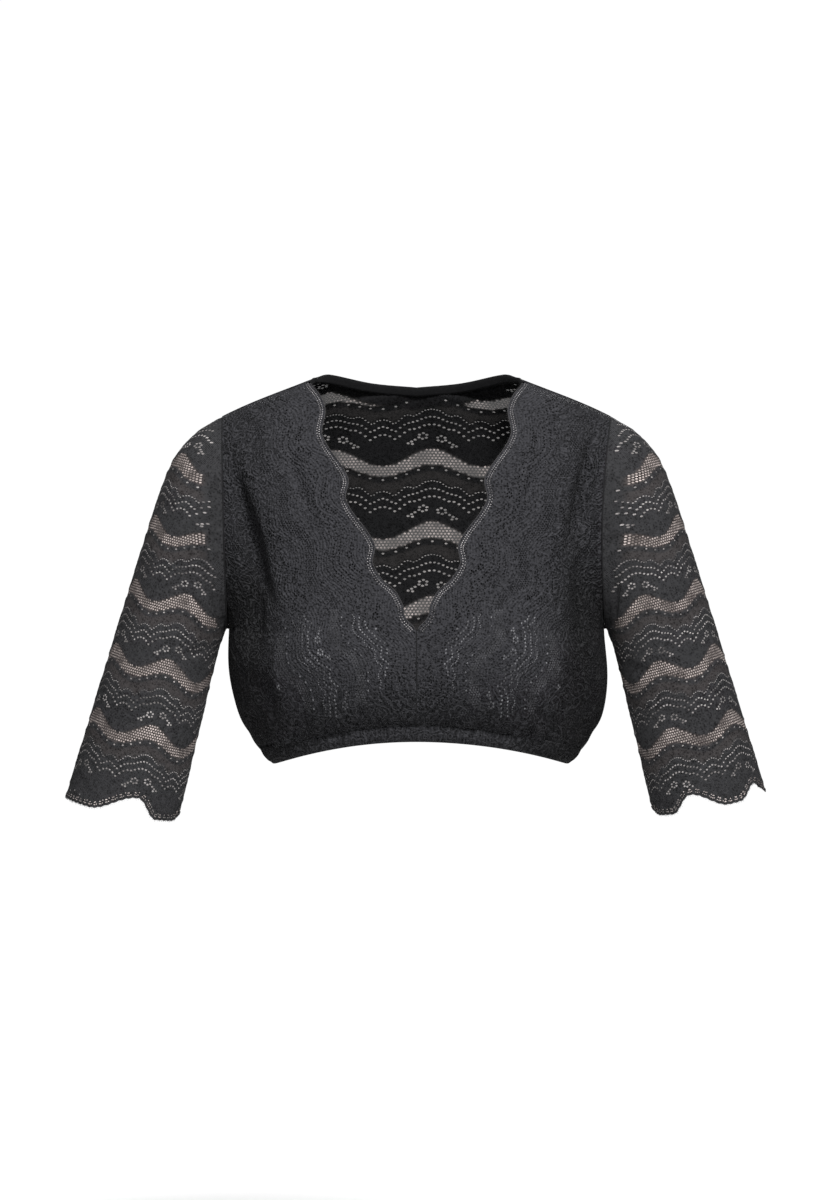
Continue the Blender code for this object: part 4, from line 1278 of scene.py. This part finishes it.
def make_casing(name, count=1100):
    line, length = hem_ring(count)
    way = np.roll(line, -1, axis=0) - np.roll(line, 1, axis=0)
    out = unit(stack(way[:, 1], -way[:, 0], 0.0))
    s = np.arange(count) * length / count
    steps = int(length / GATHER_PITCH)
    bumps = np.arange(steps) * length / steps + rng.uniform(-0.0021, 0.0021, steps)
    heights = rng.uniform(0.35, 1.0, steps)
    widths = rng.uniform(0.0011, 0.0022, steps)
    slants = rng.uniform(-0.22, 0.22, steps)

    def gathers(down):
        total = np.zeros(count)
        for at, high, width, slant in zip(bumps, heights, widths, slants):
            away = (s - at - slant * (down - CASING_HEIGHT / 2) + length / 2) % length - length / 2
            total += high * np.exp(-((away / width) ** 2))
        return np.minimum(total, 1.2)

    half = 0.0008
    flare = 0.0085 * smooth(0.085, 0.146, np.abs(line[:, 0]))
    # How far down, how far out from the seam's line, and how much of the gathers it takes
    profile = (
        (-0.0016, -0.0004, 0.10), (-0.0016, 0.0008, 0.30), (0.0004, half, 0.90), (0.0035, half + 0.0002, 1.0),
        (0.0060, half + 0.0003, 1.0), (0.0085, half - 0.0003, 1.0), (0.0110, half - 0.0013, 1.0),
        (0.0130, half - 0.0024, 0.80), (0.0143, half - 0.0036, 0.35), (0.0143, half - 0.0050, 0.15),
        (0.0120, -half - 0.0032, 0.35), (0.0080, -half - 0.0018, 0.45), (0.0040, -half - 0.0008, 0.35),
        (0.0012, -half, 0.15),
    )
    rows = []
    for down, shift, taken in profile:
        inner = down if shift > 0 else CASING_HEIGHT - down
        raised = taken * GATHER_HEIGHT * gathers(inner) * (1.0 if shift > -half else -0.6)
        raised += flare * (1.0 - down / CASING_HEIGHT)
        rows.append(line + out * (shift - 0.0004 + raised)[:, None] - np.array((0.0, 0.0, down)))
    points = np.concatenate(rows)
    body = piece_of(name, points, grid_faces(len(rows), count, True, True), FRONT_LACE)
    at = np.arange(len(points))
    # Painted shade: the casing takes nearly half of the front lace's darker second tone, and more of it
    # towards the side seams
    tint = 0.45 + 0.50 * smooth(0.06, 0.14, np.abs(np.tile(line[:, 0], len(profile))))
    mark_cloth(body.data, stack(at // count * 0.0015, at % count * length / count), tint)
    return body, length


def make_binding(name):
    """A bias strip folded over the back neckline from one shoulder seam to the other."""
    near_top = np.array([0.985])
    front_end = panel_point(near_top, across_at(near_top, neck_cut(near_top) + 0.0008, False, 1), False, 1)
    half = np.concatenate((inner_rail(np.linspace(BACK_NECK_SHARE, SHOULDER_END, 60), True), front_end))
    line = np.concatenate((half[:0:-1] * (-1.0, 1.0, 1.0), half))
    way = unit(np.gradient(line, axis=0))
    upward = np.array((0.0, -0.30, 1.0))
    up = unit(upward - way * (way @ upward)[:, None])
    out = np.cross(up, way)
    share = np.minimum(np.arange(len(line)), np.arange(len(line))[::-1]) / (len(line) // 2)
    top = (0.0016 + 0.0042 * smooth(0.0, 0.3, share))[:, None]
    wavy = rng.uniform(-0.00015, 0.00015, len(line))[:, None]
    profile = (
        (-0.0042, 0.0013), (-0.0015, 0.0016), (0.45, 0.0014), (0.85, 0.0010), (1.0, 0.0), (0.85, -0.0010),
        (0.45, -0.0014), (-0.0015, -0.0016), (-0.0042, -0.0013), (-0.0040, -0.0005), (-0.0040, 0.0005),
    )
    rows = [line + up * (rise if rise < 0 else rise * top) + out * (shift + wavy) for rise, shift in profile]
    faces = grid_faces(len(rows), len(line), closed_rows=True)
    return piece_of(name, np.concatenate(rows), faces, BINDING_CLOTH)


CASING, HEM_LENGTH = make_casing("gathered_casing")
BINDING = make_binding("neck_binding")

SEAMS = {1: [], -1: []}
for side, word in ((1, "left"), (-1, "right")):
    turn = np.linspace(-math.pi / 2, math.pi * 1.5, 181)[:-1]
    hole = sleeve_point(np.zeros(180), turn, side)
    hole[:, 0] -= side * 0.0006
    SEAMS[side].append(tube("armhole_seam_" + word, hole, 0.0008, THREAD, 6, True))
    ends = stack(np.linspace(0.0, ARMPIT_SHARE, 90), 1.0)
    line = (FRONT_LEFT_PANEL if side > 0 else FRONT_RIGHT_PANEL).place(ends)
    SEAMS[side].append(tube("side_seam_" + word, line, 0.0006, THREAD))
    ones, steps = np.ones(60), np.linspace(0.0, 1.0, 60)
    shoulder = on_curve(row_curve(ones, False, side), steps) * (side, 1, 1)
    SEAMS[side].append(tube("shoulder_seam_" + word, shoulder, 0.0007, THREAD))
middle = panel_point(np.linspace(0.0, ARMPIT_SHARE + 0.004, 110), np.zeros(110), False, 1)
middle[:, 0] = 0.0
CENTRE_SEAM = tube("centre_front_seam", middle + (0.0, 0.0003, 0.0), 0.0006, THREAD)

for piece, node, slot in (
    (SLEEVE_LEFT, "sleeve_left", "lace"),
    (SLEEVE_RIGHT, "sleeve_right", "lace"),
    (FRONT_LEFT, "front_left", "lace"),
    (FRONT_RIGHT, "front_right", "lace"),
    (BACK, "back", "lace"),
    (LINING_LEFT, "front_lining_left", "lining"),
    (LINING_RIGHT, "front_lining_right", "lining"),
    (CASING, "hem_casing", "casing"),
    (BINDING, "back_neck_binding", "casing"),
):
    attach(piece, "root")
    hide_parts(node)
small = [CENTRE_SEAM, *SEAMS[1], *SEAMS[-1], *SLEEVE_LEFT_EDGE, *SLEEVE_RIGHT_EDGE, *FRONT_LEFT_EDGE,
         *FRONT_RIGHT_EDGE]
for piece in small:
    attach(piece, "root")

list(SLEEVE_LEFT_EDGE)
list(SLEEVE_RIGHT_EDGE)
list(FRONT_LEFT_EDGE)
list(SEAMS[1][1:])
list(FRONT_RIGHT_EDGE)
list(SEAMS[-1][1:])


# Studio

def area_light(name, place, target, size, power):
    light = bpy.data.lights.new(name, "AREA")
    light.shape = "RECTANGLE"
    light.size, light.size_y = size
    light.energy = power
    body = bpy.data.objects.new(name, light)
    body.location = place
    way = Vector(target) - Vector(place)
    body.rotation_euler = way.to_track_quat("-Z", "Y").to_euler()
    bpy.context.scene.collection.objects.link(body)


floor_mesh = bpy.data.meshes.new("floor")
FLOOR_RADIUS, FLOOR_Z, FLOOR_SIDES = 1.1, -0.95, 48
turns = [k * math.tau / FLOOR_SIDES for k in range(FLOOR_SIDES)]
rim = [(FLOOR_RADIUS * math.cos(turn), FLOOR_RADIUS * math.sin(turn), FLOOR_Z) for turn in turns]
floor_mesh.from_pydata(rim, [], [tuple(range(FLOOR_SIDES))])
floor = bpy.data.objects.new("floor", floor_mesh)
bpy.context.scene.collection.objects.link(floor)
PAPER, *_ = shader_of("white_paper", (0.92, 0.92, 0.92), 0.9)
floor_mesh.materials.append(PAPER)
floor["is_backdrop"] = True

scene = bpy.context.scene
scene.view_settings.view_transform = "Standard"
# The paper behind shows pure white; on the garment its light is softer, and weaker from below
world = bpy.data.worlds.new("studio")
scene.world = world
world.use_nodes = True
build = Nodes(world.node_tree)
up = build.add("SeparateXYZ", {0: build.add("TexCoord", {})["Generated"]})["Z"]
soft = build.range(up, -0.7, 0.9, 0.06, 0.36)
shown = build.add("LightPath", {})["Is Camera Ray"]
strength = build.math("MAXIMUM", build.math("MULTIPLY", shown, 1.02), soft)
build.fill(build.nodes["Background"], {"Color": (1.0, 1.0, 1.0, 1.0), "Strength": strength})

area_light("key", (0.50, -2.2, 2.1), (0, 0, -0.15), (0.8, 0.8), 225.0)
area_light("fill", (-0.5, -3.1, 0.5), (0, 0, -0.2), (0.8, 0.8), 24.0)
area_light("rear", (0.3, 2.6, 1.0), (0, 0, -0.2), (1.0, 1.0), 70.0)

# Half the picture's height at the garment, and how far in front of it the camera stands
HALF_PICTURE, CAMERA_AWAY = 0.585, 3.0
camera_data = bpy.data.cameras.new("camera")
camera_data.sensor_fit = "VERTICAL"
camera_data.angle = 2 * math.atan(HALF_PICTURE / CAMERA_AWAY)
camera = bpy.data.objects.new("camera", camera_data)
camera.location = (0.0, -CAMERA_AWAY, -0.198)
camera.rotation_euler = (math.pi / 2, 0.0, 0.0)
scene.collection.objects.link(camera)
scene.camera = camera

[[list(map(float, corner)) for corner in box] for box in (plain_box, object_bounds())]
